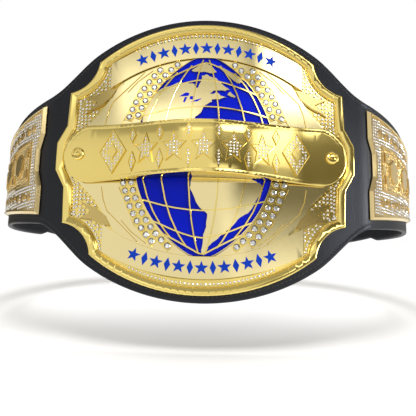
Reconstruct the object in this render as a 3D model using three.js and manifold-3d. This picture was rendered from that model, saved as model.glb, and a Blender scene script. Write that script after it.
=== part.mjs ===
// Championship title belt, closed as it is worn: a two-layer leather strap that carries a main plate
// with an arched banner, a globe and two ribbons, and a smaller plate on each side.
// Millimetres, +Z up, the front faces -Y and the origin is the middle of the waist hollow.
//
// Every piece is drawn flat first: s runs along the strap from the middle of the front, z is up and
// r is the height above the strap's outer face. wrap() then bends the flat piece round the loop.
import * as THREE from 'three';
import { mergeVertices } from 'three/addons/utils/BufferGeometryUtils.js';
import Module from 'manifold-3d';

const wasm = await Module();
wasm.setup();

// Loop of the strap: a flat front, a close bend between the plates, round sides and a flatter back
const frontRadius = 520;
const cornerRadius = 26;
const cornerTurn = 40;
const sideRadius = 160;
const backTurn = 150;

// Clearances between touching pieces and round shanks
const gap = 0.3;
const shankGap = 0.35;

// Strap
const leather = 4;
const crownHeight = 128.5;
const crownRadius = 176;
const overlap = 120;
const overlapRamp = 60;
const endCorner = 14;

// Main plate
const plateHalfWidth = 132;
const marginAbove = 8;
const marginBelow = 5.5;
const plateTop = crownHeight - marginAbove;
const plateBottom = crownHeight - marginBelow;
const bendSpace = 8;
const frontReach = plateHalfWidth + bendSpace;
const crownReach = plateHalfWidth * 0.758;
const plateBase = 3;
const rimWidth = 8;
const rimHeight = 3;

// Raised pieces on the main plate
const panelHeight = 1.5;
const ribbonHeight = 3.8;
const tailHeight = 2.2;
const artworkDrop = 1.5;
const ribbonEnd = plateHalfWidth * 0.64;
const ribbonOuter = plateTop * 0.895;
const ribbonOuterEnd = plateTop * 0.707;
const ribbonInner = plateTop * 0.74;
const ribbonInnerEnd = plateTop * 0.51;

// Globe, between two equal arcs that meet in a point above and below, with a low dome
const limbRadius = plateTop * 0.855;
const limbShift = limbRadius * 0.417;
const globeHalfWidth = limbRadius - limbShift;
const globeHalfHeight = limbRadius * 0.874;
const seaHeight = 0.8;
const domeRise = 3;
const domeFall = 0.8;
const domeRow = globeHalfHeight / 3;
const mapHeight = 0.7;
const graticuleWidth = 1.5;
const meridianStep = 25.3;
const parallelStep = 20.7;
const parallelShift = 7.5;
const parallelBow = 0.19;
const mapCentre = -74;
const mapEast = 1.65;
const mapNorth = 1.13;
const mapTilt = 16;

// Rows of cut stones beside the globe, at distances from its edge that are shares of their pitch
const stonePitch = limbRadius * 0.0704;
const stoneRadius = stonePitch * 0.4;
const stoneTable = stoneRadius * 0.58;
const stoneCrown = 1.5;
const stoneRows = [
  { field: 'upper', away: 0.61, from: 19.6, count: 9 },
  { field: 'upper', away: 1.56, from: 17.6, count: 8 },
  { field: 'lower', away: 0.61, from: -13.4, count: 10 },
  { field: 'lower', away: 1.56, from: -12.8, count: 9 },
];
const settingHeight = 0.9;
const settingEdge = stoneRadius * 0.24;

// Arched banner
const bannerReach = plateHalfWidth - rimWidth - 2 * gap;
const bannerHalfEnd = plateTop * 0.214;
const bannerHalfMiddle = plateTop * 0.193;
const bannerRise = 19.5;
const bannerArch = bannerReach * 0.786;
const bannerEdge = 3.4;
const bannerWall = 2.6;
const bannerRelief = 1.2;
const archRoom = 5.8;
const screwInset = 13.9;
const screwPlace = bannerReach - screwInset;
const screwHead = 5.6;
const shankRadius = 2;
const panelMargin = 3.5;
const panelReach = screwPlace + panelMargin;

// Side plates
const sideStart = frontReach + bendSpace;
const sideLength = 116;
const sideHalfNear = crownHeight * 0.397;
const sideHalfFar = crownHeight * 0.249;
const sideBase = 2.4;
const sideRim = 1.6;
const sideRimWidth = 2.6;
const sideRelief = 2.2;
const sideNotch = 5;

// Posts and press studs
const postHead = 5;
const postHeadHeight = 1.2;
const studHead = 7;
const studCap = 2.4;
const studBack = 1.6;
const studRows = 2;
const studColumns = 2;
const studPitchAlong = 44;
const studPitchUp = 30;

// Facet lengths
const facet = 24;
const facetAngle = 0.13;
const looseness = 0.06;
const bannerFacet = 14;
const roundSides = 10;

const gold = { color: 0xd9b85c, roughness: 0.22, metalness: 1 };
const rosyGold = { color: 0xcfa266, roughness: 0.3, metalness: 1 };
const blueEnamel = { color: 0x0a1fae, roughness: 0.15, metalness: 0 };
const blackLeather = { color: 0x16161a, roughness: 0.55, metalness: 0 };
const crystal = { color: 0xe8eef6, roughness: 0.05, metalness: 0.1 };
const nickel = { color: 0xb9bcc2, roughness: 0.25, metalness: 1 };

const belt = new THREE.Group();

// Arcs of the right half of the loop, each with its start along the strap, turn and place
function loopArcs() {
  const frontTurn = frontReach / frontRadius;
  const cornerEnd = THREE.MathUtils.degToRad(cornerTurn);
  const backStart = THREE.MathUtils.degToRad(backTurn);
  const reach = frontRadius * Math.sin(frontTurn) + cornerRadius * (Math.sin(cornerEnd) - Math.sin(frontTurn));
  const backRadius = sideRadius + (reach - sideRadius * Math.sin(cornerEnd)) / Math.sin(backStart);
  const radii = [frontRadius, cornerRadius, sideRadius, backRadius];
  const turns = [0, frontTurn, cornerEnd, backStart, Math.PI];
  const arcs = [];
  let start = 0;
  let x = 0;
  let y = 0;
  radii.forEach((radius, i) => {
    const [from, to] = [turns[i], turns[i + 1]];
    arcs.push({ start, radius, from, x, y });
    start += radius * (to - from);
    x += radius * (Math.sin(to) - Math.sin(from));
    y += radius * (Math.cos(from) - Math.cos(to));
  });
  return { arcs, half: start, depth: y };
}
const loop = loopArcs();

// Place and turn of the strap's outer face at length s from the middle of the front
function pathAt(s) {
  const length = Math.abs(s);
  const side = Math.sign(s) || 1;
  const arc = loop.arcs.findLast((a) => length >= a.start);
  const turn = arc.from + (length - arc.start) / arc.radius;
  return {
    x: side * (arc.x + arc.radius * (Math.sin(turn) - Math.sin(arc.from))),
    y: arc.y + arc.radius * (Math.cos(arc.from) - Math.cos(turn)) - loop.depth / 2,
    along: new THREE.Vector3(Math.cos(turn), side * Math.sin(turn), 0),
    out: new THREE.Vector3(side * Math.sin(turn), -Math.cos(turn), 0),
  };
}

// Lengths along the strap between which it is faceted flat, the same for every piece
function facetEnds() {
  const places = new Set([0]);
  loop.arcs.forEach((arc, i) => {
    const end = i + 1 < loop.arcs.length ? loop.arcs[i + 1].start : loop.half + overlap;
    const count = Math.ceil((end - arc.start) / Math.min(facet, arc.radius * facetAngle));
    for (let k = 1; k <= count; k++) {
      const s = arc.start + ((end - arc.start) * k) / count;
      places.add(s);
      places.add(-s);
    }
  });
  return [...places].sort((a, b) => a - b);
}
const facets = facetEnds();

// The place in space of height r above the point (s, z) of the strap's faceted outer face
function wrap(s, z, r) {
  const next = Math.min(facets.length - 1, Math.max(1, facets.findIndex((place) => place > s)));
  const [from, to] = [facets[next - 1], facets[next]];
  const [a, b] = [pathAt(from), pathAt(to)];
  const t = (s - from) / (to - from);
  const x = (1 - t) * (a.x + r * a.out.x) + t * (b.x + r * b.out.x);
  const y = (1 - t) * (a.y + r * a.out.y) + t * (b.y + r * b.out.y);
  return new THREE.Vector3(x, y, z);
}

// The middle of the flat facet that holds s
function onFacet(s) {
  const next = facets.findIndex((place) => place > s);
  return (facets[next - 1] + facets[next]) / 2;
}

// Closed solids to and from the boolean library
function toSolid(geometry) {
  const bare = geometry.clone();
  bare.deleteAttribute('normal');
  bare.deleteAttribute('uv');
  const merged = mergeVertices(bare, 1e-4);
  return new wasm.Manifold(new wasm.Mesh({
    numProp: 3,
    vertProperties: new Float32Array(merged.attributes.position.array),
    triVerts: new Uint32Array(merged.index.array),
  }));
}

function toGeometry(solid) {
  const mesh = solid.getMesh();
  const geometry = new THREE.BufferGeometry();
  geometry.setAttribute('position', new THREE.BufferAttribute(new Float32Array(mesh.vertProperties), 3));
  geometry.setIndex(new THREE.BufferAttribute(new Uint32Array(mesh.triVerts), 1));
  return geometry;
}

// A flat slab with the given outline, from height low to height high
function slab(points, low, high) {
  const shape = new THREE.Shape(points.map(([s, z]) => new THREE.Vector2(s, z)));
  const geometry = new THREE.ExtrudeGeometry(shape, { depth: high - low, bevelEnabled: false });
  return toSolid(geometry.translate(0, 0, low));
}

// Splits the faces of a flat solid where they cross one place along an axis, keeping it closed
function splitAt(mesh, axis, place) {
  const made = new Map();
  const side = (v) => {
    const d = mesh.points[v][axis] - place;
    return Math.abs(d) < 1e-3 ? 0 : Math.sign(d);
  };
  const crossing = (a, b) => {
    const key = a < b ? `${a},${b}` : `${b},${a}`;
    if (!made.has(key)) {
      const [p, q] = a < b ? [mesh.points[a], mesh.points[b]] : [mesh.points[b], mesh.points[a]];
      const t = (place - p[axis]) / (q[axis] - p[axis]);
      made.set(key, mesh.points.length);
      mesh.points.push(p.map((value, i) => value + t * (q[i] - value)));
    }
    return made.get(key);
  };
  mesh.faces = mesh.faces.flatMap((face) => {
    const sides = face.map(side);
    if (!sides.includes(1) || !sides.includes(-1)) return [face];
    if (sides.includes(0)) {
      const k = sides.indexOf(0);
      const [a, b, c] = [face[k], face[(k + 1) % 3], face[(k + 2) % 3]];
      const m = crossing(b, c);
      return [[a, b, m], [a, m, c]];
    }
    const lone = sides.findIndex((v) => sides.filter((w) => w === v).length === 1);
    const [a, b, c] = [face[lone], face[(lone + 1) % 3], face[(lone + 2) % 3]];
    const [m, n] = [crossing(a, b), crossing(a, c)];
    return [[a, m, n], [m, b, c], [m, c, n]];
  });
}

// Bends a flat solid round the loop, with lift(s, z, h) as the height of a point drawn at height h
function bend(solid, lift = (s, z, h) => h, alongCuts = facets, upCuts = []) {
  const flat = solid.getMesh();
  const mesh = { points: [], faces: [] };
  for (let i = 0; i < flat.vertProperties.length; i += 3) {
    mesh.points.push([...flat.vertProperties.slice(i, i + 3)]);
  }
  for (let i = 0; i < flat.triVerts.length; i += 3) {
    mesh.faces.push([...flat.triVerts.slice(i, i + 3)]);
  }
  alongCuts.forEach((s) => splitAt(mesh, 0, s));
  upCuts.forEach((z) => splitAt(mesh, 1, z));
  const bent = mesh.points.map(([s, z, h]) => wrap(s, z, lift(s, z, h)).toArray());
  const wrapped = new wasm.Manifold(new wasm.Mesh({
    numProp: 3,
    vertProperties: new Float32Array(bent.flat()),
    triVerts: new Uint32Array(mesh.faces.flat()),
  }));
  return wrapped;
}

// A round piece on the strap's normal at (s, z), with its profile as [radius, height] rows
function turned(profile, s, z) {
  const points = profile.map(([radius, height]) => new THREE.Vector2(radius, height));
  const geometry = new THREE.LatheGeometry(points, roundSides);
  const along = wrap(s + 0.1, z, 0).sub(wrap(s - 0.1, z, 0)).normalize();
  const down = new THREE.Vector3(0, 0, -1);
  const facing = new THREE.Matrix4().makeBasis(along, down.clone().cross(along), down);
  facing.setPosition(wrap(s, z, 0));
  return toSolid(geometry.applyMatrix4(facing));
}

function shankHole(s, z, low, high) {
  const radius = shankRadius + shankGap;
  return turned([[0, low], [radius, low], [radius, high], [0, high]], s, z);
}

function addPiece(name, solid, finish) {
  const mesh = new THREE.Mesh(toGeometry(solid.simplify(looseness)), new THREE.MeshStandardMaterial(finish));
  mesh.name = name;
  belt.add(mesh);
}

// Outline helpers
const mirrorS = (points) => points.map(([s, z]) => [-s, z]).reverse();
const mirrorZ = (points) => points.map(([s, z]) => [s, -z]).reverse();

function arcPoints(centre, radius, from, to, count) {
  return Array.from({ length: count + 1 }, (_, k) => {
    const angle = from + ((to - from) * k) / count;
    return [centre[0] + radius * Math.cos(angle), centre[1] + radius * Math.sin(angle)];
  });
}

// Points on the arc over s = -reach to reach that is middle high at s = 0 and end high at its ends
function bow(reach, middle, end, count) {
  const rise = middle - end;
  const radius = (reach * reach + rise * rise) / (2 * rise);
  return Array.from({ length: count + 1 }, (_, k) => {
    const s = -reach + (2 * reach * k) / count;
    return [s, middle - radius + Math.sqrt(radius * radius - s * s)];
  });
}

function bowHeight(s, reach, middle, end) {
  const rise = middle - end;
  const radius = (reach * reach + rise * rise) / (2 * rise);
  return middle - radius + Math.sqrt(radius * radius - s * s);
}

// The outline moved inwards by a distance, corners kept sharp
function inset(points, distance) {
  const count = points.length;
  const area = points.reduce((sum, p, i) => {
    const q = points[(i + 1) % count];
    return sum + p[0] * q[1] - q[0] * p[1];
  }, 0);
  const turn = Math.sign(area);
  return points.map((p, i) => {
    const before = points[(i + count - 1) % count];
    const after = points[(i + 1) % count];
    const a = new THREE.Vector2(p[0] - before[0], p[1] - before[1]).normalize();
    const b = new THREE.Vector2(after[0] - p[0], after[1] - p[1]).normalize();
    const normal = new THREE.Vector2(-(a.y + b.y), a.x + b.x).normalize();
    const stretch = 1 / Math.max(0.35, normal.dot(new THREE.Vector2(-a.y, a.x)));
    return [p[0] + turn * normal.x * distance * stretch, p[1] + turn * normal.y * distance * stretch];
  });
}

// A ribbon of one width along a line of points
function band(points, width) {
  const sides = [[], []];
  points.forEach((p, i) => {
    const before = points[Math.max(0, i - 1)];
    const after = points[Math.min(points.length - 1, i + 1)];
    const along = new THREE.Vector2(after[0] - before[0], after[1] - before[1]).normalize();
    sides[0].push([p[0] - (along.y * width) / 2, p[1] + (along.x * width) / 2]);
    sides[1].push([p[0] + (along.y * width) / 2, p[1] - (along.x * width) / 2]);
  });
  return [...sides[0], ...sides[1].reverse()];
}

// Taper of the band, as shares of the loop's half length and of the crown's height
const bandTaper = [
  { along: 0.2545, half: 0.455 },
  { along: 0.348, half: 0.393 },
  { along: 0.492, half: 0.319 },
  { along: 0.594, half: 0.265 },
  { along: 0.614, half: 0.226 },
  { along: 1.4, half: 0.226 },
].map((row) => ({ at: row.along * loop.half, half: row.half * crownHeight }));

// Half height of the leather at length s, a round crown that runs out into the tapering band
function strapHalf(s) {
  const at = Math.abs(s);
  if (at <= crownReach) return crownHeight - crownRadius + Math.sqrt(crownRadius ** 2 - at * at);
  const after = bandTaper.findIndex((row) => row.at > at);
  if (after > 0) {
    const [a, b] = [bandTaper[after - 1], bandTaper[after]];
    return a.half + ((b.half - a.half) * (at - a.at)) / (b.at - a.at);
  }
  const [a, b] = bandTaper;
  const span = a.at - crownReach;
  const t = (at - crownReach) / span;
  const from = strapHalf(crownReach);
  const slope = -crownReach / Math.sqrt(crownRadius ** 2 - crownReach ** 2);
  const taper = (b.half - a.half) / (b.at - a.at);
  const [t2, t3] = [t * t, t * t * t];
  return (2 * t3 - 3 * t2 + 1) * from + (t3 - 2 * t2 + t) * span * slope
    + (-2 * t3 + 3 * t2) * a.half + (t3 - t2) * span * taper;
}

const strapReach = loop.half + overlap / 2;

// The right end lies outside the left end where the two overlap at the back
function strapLift(s) {
  const t = THREE.MathUtils.clamp((s - (loop.half - overlap / 2 - overlapRamp)) / (overlapRamp - 6), 0, 1);
  return (leather + gap) * t * t * (3 - 2 * t);
}

function strapSolid() {
  const straight = strapReach - endCorner;
  const crown = [0.14, 0.42, 0.7, 0.9, 1, 1.2, 1.3].map((share) => share * crownReach);
  const shaped = [...crown, ...bandTaper.slice(0, -1).map((row) => row.at)];
  const ramp = [1, 2, 3, 4].map((k) => loop.half - overlap / 2 - (overlapRamp * k) / 4);
  const ends = [straight, strapReach - endCorner * 0.3, strapReach];
  const right = [...shaped, ...ramp, ...ends];
  const joints = facets.filter((s) => Math.abs(s) < straight - 1);
  const lengths = [...new Set([...joints, ...right, ...right.map((s) => -s)])].sort((a, b) => a - b)
    .filter((s, i, all) => i === 0 || s - all[i - 1] > 0.01);
  const half = (s) => {
    const past = Math.max(0, Math.abs(s) - straight);
    return strapHalf(s) - endCorner + Math.sqrt(Math.max(0, endCorner ** 2 - past ** 2));
  };
  const points = [];
  const faces = [];
  lengths.forEach((s) => {
    const lift = strapLift(s);
    const corners = [[half(s), lift], [-half(s), lift], [-half(s), lift - leather], [half(s), lift - leather]];
    corners.forEach(([z, r]) => points.push(...wrap(s, z, r).toArray()));
  });
  const last = 4 * (lengths.length - 1);
  faces.push(0, 2, 1, 0, 3, 2, last, last + 1, last + 2, last, last + 2, last + 3);
  for (let i = 0; i < last; i += 4) {
    for (let k = 0; k < 4; k++) {
      const next = (k + 1) % 4;
      faces.push(i + k, i + 4 + next, i + 4 + k, i + k, i + next, i + 4 + next);
    }
  }
  const geometry = new THREE.BufferGeometry();
  geometry.setAttribute('position', new THREE.BufferAttribute(new Float32Array(points), 3));
  geometry.setIndex(faces);
  return toSolid(geometry);
}

// Main plate outline, from its corners as shares of the half width and of the crown above or below
const plateCorners = [
  { name: 'shoulder', across: 0.727, up: 0.722 },
  { name: 'ear', across: 0.925, up: 0.494 },
  { name: 'hollow', across: 0.934, up: 0.233 },
  { name: 'hip', across: 1, up: 0.104 },
];
const scallopRadius = plateHalfWidth * 0.2333;

function plateQuarter(crown) {
  const [shoulder, ear, hollow, hip] = plateCorners.map((c) => [c.across * plateHalfWidth, c.up * crown]);
  const top = bow(shoulder[0], crown, shoulder[1], 16).slice(8);
  const middle = [(shoulder[0] + ear[0]) / 2, (shoulder[1] + ear[1]) / 2];
  const chord = [ear[0] - shoulder[0], ear[1] - shoulder[1]];
  const half = Math.hypot(...chord) / 2;
  const away = Math.sqrt(scallopRadius ** 2 - half ** 2) / (2 * half);
  const centre = [middle[0] - chord[1] * away, middle[1] + chord[0] * away];
  const from = Math.atan2(shoulder[1] - centre[1], shoulder[0] - centre[0]) + 2 * Math.PI;
  const to = Math.atan2(ear[1] - centre[1], ear[0] - centre[0]) + 2 * Math.PI;
  const scallop = arcPoints(centre, scallopRadius, from, to, 6).slice(1);
  return [...top, ...scallop, hollow, hip];
}

function plateOutline() {
  const upper = plateQuarter(plateTop);
  const lower = mirrorZ(plateQuarter(plateBottom));
  const right = [...upper, ...lower];
  return [...right, ...mirrorS(right.slice(1, -1))];
}

const plateFace = gap + plateBase;
const panelFoot = plateFace + gap;
const panelFace = panelFoot + panelHeight;

function mainPlate() {
  const outline = plateOutline();
  const whole = slab(outline, gap, plateFace + rimHeight);
  const field = slab(inset(outline, rimWidth), plateFace, plateFace + rimHeight + 1);
  return bend(whole.subtract(field));
}

// Ribbons above and below the globe, each with a folded swallow tail at both ends,
// drawn as shares of the ribbon's reach and of the height of its lower corner
const tailShape = [
  { name: 'root', across: 0.923, up: 1.016 },
  { name: 'corner', across: 1.007, up: 1.016 },
  { name: 'upper edge', across: 1.13, up: 0.927 },
  { name: 'upper tip', across: 1.266, up: 0.902 },
  { name: 'notch', across: 1.142, up: 0.813 },
  { name: 'lower tip', across: 1.266, up: 0.65 },
  { name: 'lower edge', across: 1.095, up: 0.756 },
  { name: 'fold', across: 0.976, up: 0.878 },
];
const tailOutline = tailShape.map((p) => [p.across * ribbonEnd, p.up * ribbonInnerEnd]);

function ribbonOutline() {
  const outer = bow(ribbonEnd, ribbonOuter, ribbonOuterEnd, 14);
  const inner = bow(ribbonEnd, ribbonInner, ribbonInnerEnd, 14).reverse();
  return [...outer, ...inner];
}

function placeArtwork(points, side) {
  const turned = side > 0 ? points : mirrorZ(points);
  return turned.map(([s, z]) => [s, z - artworkDrop]);
}

function ribbon(side) {
  const body = slab(placeArtwork(ribbonOutline(), side), panelFoot, panelFoot + ribbonHeight);
  const right = slab(placeArtwork(tailOutline, side), panelFoot, panelFoot + tailHeight);
  const left = slab(placeArtwork(mirrorS(tailOutline), side), panelFoot, panelFoot + tailHeight);
  return bend(body.add(right).add(left));
}

// Panel between the ribbons, which reaches under the banner to both ends,
// with its corners as shares of its reach and of the height of the ribbon's lower corner
const foldShare = 0.9;
const panelShape = [
  { name: 'diagonal', across: 0.814, up: 0.675 },
  { name: 'edge', across: 0.92, up: 0.472 },
  { name: 'under the banner', across: 1, up: 0.309 },
];

function panelOutline() {
  const inner = bow(ribbonEnd, ribbonInner, ribbonInnerEnd, 14);
  const fold = ribbonEnd * foldShare;
  const top = inner.filter(([s]) => s >= 0 && s < fold - 4).map(([s, z]) => [s, z - 2 * gap]);
  top.push([fold, bowHeight(fold, ribbonEnd, ribbonInner, ribbonInnerEnd) - 2 * gap]);
  const quarter = [...top, ...panelShape.map((p) => [p.across * panelReach, p.up * ribbonInnerEnd])];
  const right = [...quarter, ...mirrorZ(quarter)];
  const whole = [...right, ...mirrorS(right.slice(1, -1))];
  return whole.map(([s, z]) => [s, z - artworkDrop]);
}

function sunburstPanel() {
  const tails = [1, -1].flatMap((side) => (
    [tailOutline, mirrorS(tailOutline)].map((t) => slab(placeArtwork(inset(t, -gap), side), 0, 20))
  ));
  const whole = slab(panelOutline(), panelFoot, panelFace);
  return bend(tails.reduce((solid, tail) => solid.subtract(tail), whole));
}

// Globe: half width at height z above its middle, and its outline between the two ribbons
function limb(z) {
  return Math.sqrt(limbRadius ** 2 - z * z) - limbShift;
}

function globeOutline(shrink) {
  const tip = Math.acos(limbShift / limbRadius) * 0.96;
  const right = arcPoints([-limbShift, 0], limbRadius - shrink, tip, -tip, 16);
  return [...right, ...mirrorS(right)].map(([s, z]) => [s, z - artworkDrop]);
}

function ribbonEdge(distance) {
  const inner = bow(ribbonEnd, ribbonInner, ribbonInnerEnd, 14).map(([s, z]) => [s, z - distance]);
  const lower = mirrorZ(inner);
  return [...inner, ...lower].map(([s, z]) => [s, z - artworkDrop]);
}

const globeCuts = [-2, -1, 0, 1, 2].map((k) => k * domeRow - artworkDrop);

// Value of a parabola that is 1 at 0, made straight between the given places
function straightened(value, places, fall) {
  const next = Math.min(places.length - 1, Math.max(1, places.findIndex((place) => place > value)));
  const [a, b] = [places[next - 1], places[next]];
  const [from, to] = [1 - fall * a * a, 1 - fall * b * b];
  return from + ((to - from) * (value - a)) / (b - a);
}

// Height of the dome at (s, z), flat between the facet lines of the sea and the map alike
function dome(s, z) {
  const across = straightened(s, facets, domeFall / globeHalfWidth ** 2);
  const up = straightened(z + artworkDrop, globeRows, domeFall / globeHalfHeight ** 2);
  return domeRise * (across + up - 1);
}
const globeRows = [-4, -3, -2, -1, 0, 1, 2, 3, 4].map((k) => k * domeRow);

// A place on the globe's map, from angles east of its middle and above its equator
function onGlobe(east, north) {
  const share = Math.sin(THREE.MathUtils.degToRad(THREE.MathUtils.clamp(east, -90, 90)));
  const height = globeHalfHeight * Math.sin(THREE.MathUtils.degToRad(THREE.MathUtils.clamp(north, -89, 89)));
  const z = height * (1 - parallelBow * share * share);
  return [limb(z) * share, z - artworkDrop];
}

function onMap([longitude, latitude]) {
  return onGlobe((longitude - mapCentre) * mapEast, latitude * mapNorth - mapTilt);
}

// Coasts as longitude and latitude, and waters cut out of them
const lands = {
  south: [
    [-77, 9], [-81, -4], [-76, -14], [-70, -19], [-73, -38], [-75, -50], [-69, -55], [-66, -50],
    [-62, -40], [-57, -37], [-49, -27], [-40, -21], [-35, -8], [-42, -2], [-50, 1], [-58, 7], [-68, 11],
  ],
  north: [
    [-78, 7], [-84, 8.5], [-90, 13], [-96, 15.5], [-105, 19.5], [-112, 29], [-119, 35], [-125, 42],
    [-128, 52], [-126, 58], [-112, 60], [-96, 60], [-93, 57], [-82, 52], [-80, 51.5], [-78, 61],
    [-66, 60], [-56, 53], [-68, 50], [-62, 46], [-70, 43], [-76, 35], [-81, 30], [-81, 25],
    [-86, 30], [-95, 29], [-97, 22], [-91, 18.5], [-84, 15.5], [-77, 10],
  ],
  island: [[-50, 80], [-58, 76], [-52, 70], [-45, 62], [-38, 66], [-32, 74]],
  arctic: [[-92, 70], [-84, 66], [-72, 64], [-62, 66], [-66, 72], [-80, 76]],
};
const lakes = [
  [-92, 47], [-86, 49], [-81, 46], [-78, 43], [-83, 42.5], [-84, 45.5], [-87, 42], [-88, 46],
];

function seaDisc() {
  const foot = panelFace + gap;
  const disc = slab(globeOutline(0), 0, 1).intersect(slab(ribbonEdge(2 * gap), -1, 2));
  return bend(disc, (s, z, h) => foot + h * (seaHeight + dome(s, z)), facets, globeCuts);
}

function globeMap() {
  const foot = panelFace + 2 * gap + seaHeight;
  const rim = slab(globeOutline(0.2), 0, mapHeight).subtract(slab(globeOutline(graticuleWidth), -1, 2));
  const pieces = [rim];
  for (let k = -2.5; k <= 2.5; k++) {
    const line = Array.from({ length: 7 }, (_, i) => onGlobe(k * meridianStep, -84 + 28 * i));
    pieces.push(slab(band(line, graticuleWidth), 0, mapHeight));
  }
  for (let k = -4; k <= 3; k++) {
    const line = Array.from({ length: 5 }, (_, i) => onGlobe(-84 + 42 * i, parallelShift + k * parallelStep));
    pieces.push(slab(band(line, graticuleWidth), 0, mapHeight));
  }
  Object.values(lands).forEach((coast) => pieces.push(slab(coast.map(onMap), 0, mapHeight)));
  const joined = wasm.Manifold.union(pieces)
    .subtract(slab(lakes.map(onMap), -1, 2))
    .intersect(slab(ribbonEdge(2 * gap), -1, 2));
  return bend(joined, (s, z, h) => foot + h + dome(s, z), facets, globeCuts);
}

// Cut stones in two rows, on a setting that follows the globe's edge
function stoneRow({ away, from, count }) {
  const radius = limbRadius + away * stonePitch;
  const start = THREE.MathUtils.degToRad(from);
  const step = (Math.sign(from) * stonePitch) / radius;
  const end = start + (count - 1) * step;
  return arcPoints([-limbShift, -artworkDrop], radius, start, end, count - 1);
}

function cutStone([s, z], foot) {
  const sides = 8;
  const ring = (radius, height) => Array.from({ length: sides }, (_, k) => {
    const angle = ((k + 0.5) * 2 * Math.PI) / sides;
    return [s + radius * Math.cos(angle), z + radius * Math.sin(angle), height];
  });
  const points = [...ring(stoneRadius, foot), ...ring(stoneTable, foot + stoneCrown)].flat();
  const faces = [];
  for (let k = 0; k < sides; k++) {
    const next = (k + 1) % sides;
    faces.push(k, next, sides + k, next, sides + next, sides + k);
    if (k > 0 && next > 0) {
      faces.push(0, next, k, sides, sides + k, sides + next);
    }
  }
  const geometry = new THREE.BufferGeometry();
  geometry.setAttribute('position', new THREE.BufferAttribute(new Float32Array(points), 3));
  geometry.setIndex(faces);
  return toSolid(geometry);
}

function stoneField(name, hand) {
  const rows = stoneRows.filter((row) => row.field === name);
  const foot = panelFace + gap;
  const reach = stoneRadius + settingEdge;
  const strips = rows.map((row) => {
    const radius = limbRadius + row.away * stonePitch;
    const over = (Math.sign(row.from) * reach) / radius;
    const start = THREE.MathUtils.degToRad(row.from) - over;
    const end = start + ((row.count - 1) * Math.sign(row.from) * stonePitch) / radius + 2 * over;
    const line = arcPoints([-limbShift, -artworkDrop], radius, start, end, 5);
    return slab(band(line, 2 * reach).map(([s, z]) => [hand * s, z]), foot, foot + settingHeight);
  });
  const setting = wasm.Manifold.union(strips).intersect(slab(ribbonEdge(2 * gap), 0, 20));
  const stones = rows.flatMap(stoneRow).map(([s, z]) => cutStone([hand * s, z], foot + settingHeight - 0.2));
  return bend(wasm.Manifold.union([setting, ...stones]));
}

// Arched banner: half height of its face and height of its face at length s
function bannerHalf(s) {
  const t = Math.min(1, Math.abs(s) / bannerArch);
  return bannerHalfMiddle + (bannerHalfEnd - bannerHalfMiddle) * t * t;
}

const bannerFoot = panelFace + gap;
const bannerLow = bannerFoot + bannerEdge;
const bannerCuts = Array.from({ length: 21 }, (_, k) => (k - 10) * bannerFacet);

function bannerRaise(s) {
  const share = Math.abs(s) < bannerArch ? Math.cos((Math.PI * s) / (2 * bannerArch)) : 0;
  return share * share;
}

function bannerOutline(shrink, reach = bannerReach) {
  const corner = bannerHalfEnd - 2;
  const straight = reach - corner;
  const edge = bannerCuts.filter((s) => Math.abs(s) < straight - 1);
  const top = edge.map((s) => [s, bannerHalf(s) - shrink]);
  const end = arcPoints([straight, 0], 1, Math.PI / 2, -Math.PI / 2, 8)
    .map(([s, z]) => [straight + (s - straight) * corner, z * (bannerHalfEnd - shrink)]);
  return [...top, ...end, ...mirrorZ(top), ...mirrorS(end)];
}

// Generic relief in place of lettering: a tall lozenge at each end and five-pointed stars between
const starPitch = bannerArch * 0.247;
const starPlaces = [-2, -1, 0, 1, 2].map((k) => k * starPitch);
const starRadius = starPitch * 0.5625;
const starInner = 0.46;
const lozengePlace = bannerArch * 0.804;
const lozengeHalf = [bannerArch * 0.129, bannerHalfMiddle * 0.858];
const lozengeHole = 5.2;

function star(s, radius) {
  return Array.from({ length: 10 }, (_, k) => {
    const reach = k % 2 ? radius * starInner : radius;
    const angle = Math.PI / 2 + (k * Math.PI) / 5;
    return [s + reach * 0.82 * Math.cos(angle), reach * 1.12 * Math.sin(angle) - 0.8];
  });
}

function lozenge(s, shrink) {
  const [across, up] = [lozengeHalf[0] - shrink, lozengeHalf[1] - shrink * 1.6];
  return [[s, up], [s - across, 0], [s, -up], [s + across, 0]];
}

// The banner is drawn with its foot at height 0, its roof at 1, its face at 2 and its relief at 3
function banner() {
  const body = slab(bannerOutline(0), 0, 2);
  const pocket = slab(bannerOutline(bannerWall, bannerArch - 4), -1, 1);
  const raised = [
    ...starPlaces.map((s) => slab(star(s, starRadius), 1.5, 3)),
    ...[-1, 1].map((hand) => slab(lozenge(hand * lozengePlace, 0), 1.5, 3)
      .subtract(slab(lozenge(hand * lozengePlace, lozengeHole), 2, 4))),
  ];
  const levels = (s) => {
    const raise = bannerRaise(s);
    const foot = bannerFoot + archRoom * Math.sqrt(raise);
    const face = bannerLow + bannerRise * raise;
    return [foot, Math.max(foot + 0.6, face - bannerWall), face, face + bannerRelief];
  };
  const lift = (s, z, h) => {
    const level = levels(s);
    const k = Math.min(2, Math.max(0, Math.floor(h)));
    return level[k] + (level[k + 1] - level[k]) * (h - k);
  };
  return bend(wasm.Manifold.union([body.subtract(pocket), ...raised]), lift, bannerCuts);
}

// Side plate outline, from its near edge with two steps to its far edge with one point
function sideOutline(hand) {
  const slope = (sideHalfFar - sideHalfNear) / sideLength;
  const half = (along) => sideHalfNear + slope * along;
  const upper = [
    [sideNotch, 0],
    [sideNotch, sideHalfNear * 0.2],
    [0, sideHalfNear * 0.48],
    [0, half(0)],
    [sideLength, half(sideLength)],
    [sideLength, sideHalfFar * 0.5],
    [sideLength - sideNotch, sideHalfFar * 0.22],
  ].map(([along, z]) => [sideStart + along, z]);
  const whole = [...upper.slice(1), ...mirrorZ(upper.slice(1))];
  return hand > 0 ? whole : mirrorS(whole);
}

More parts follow.
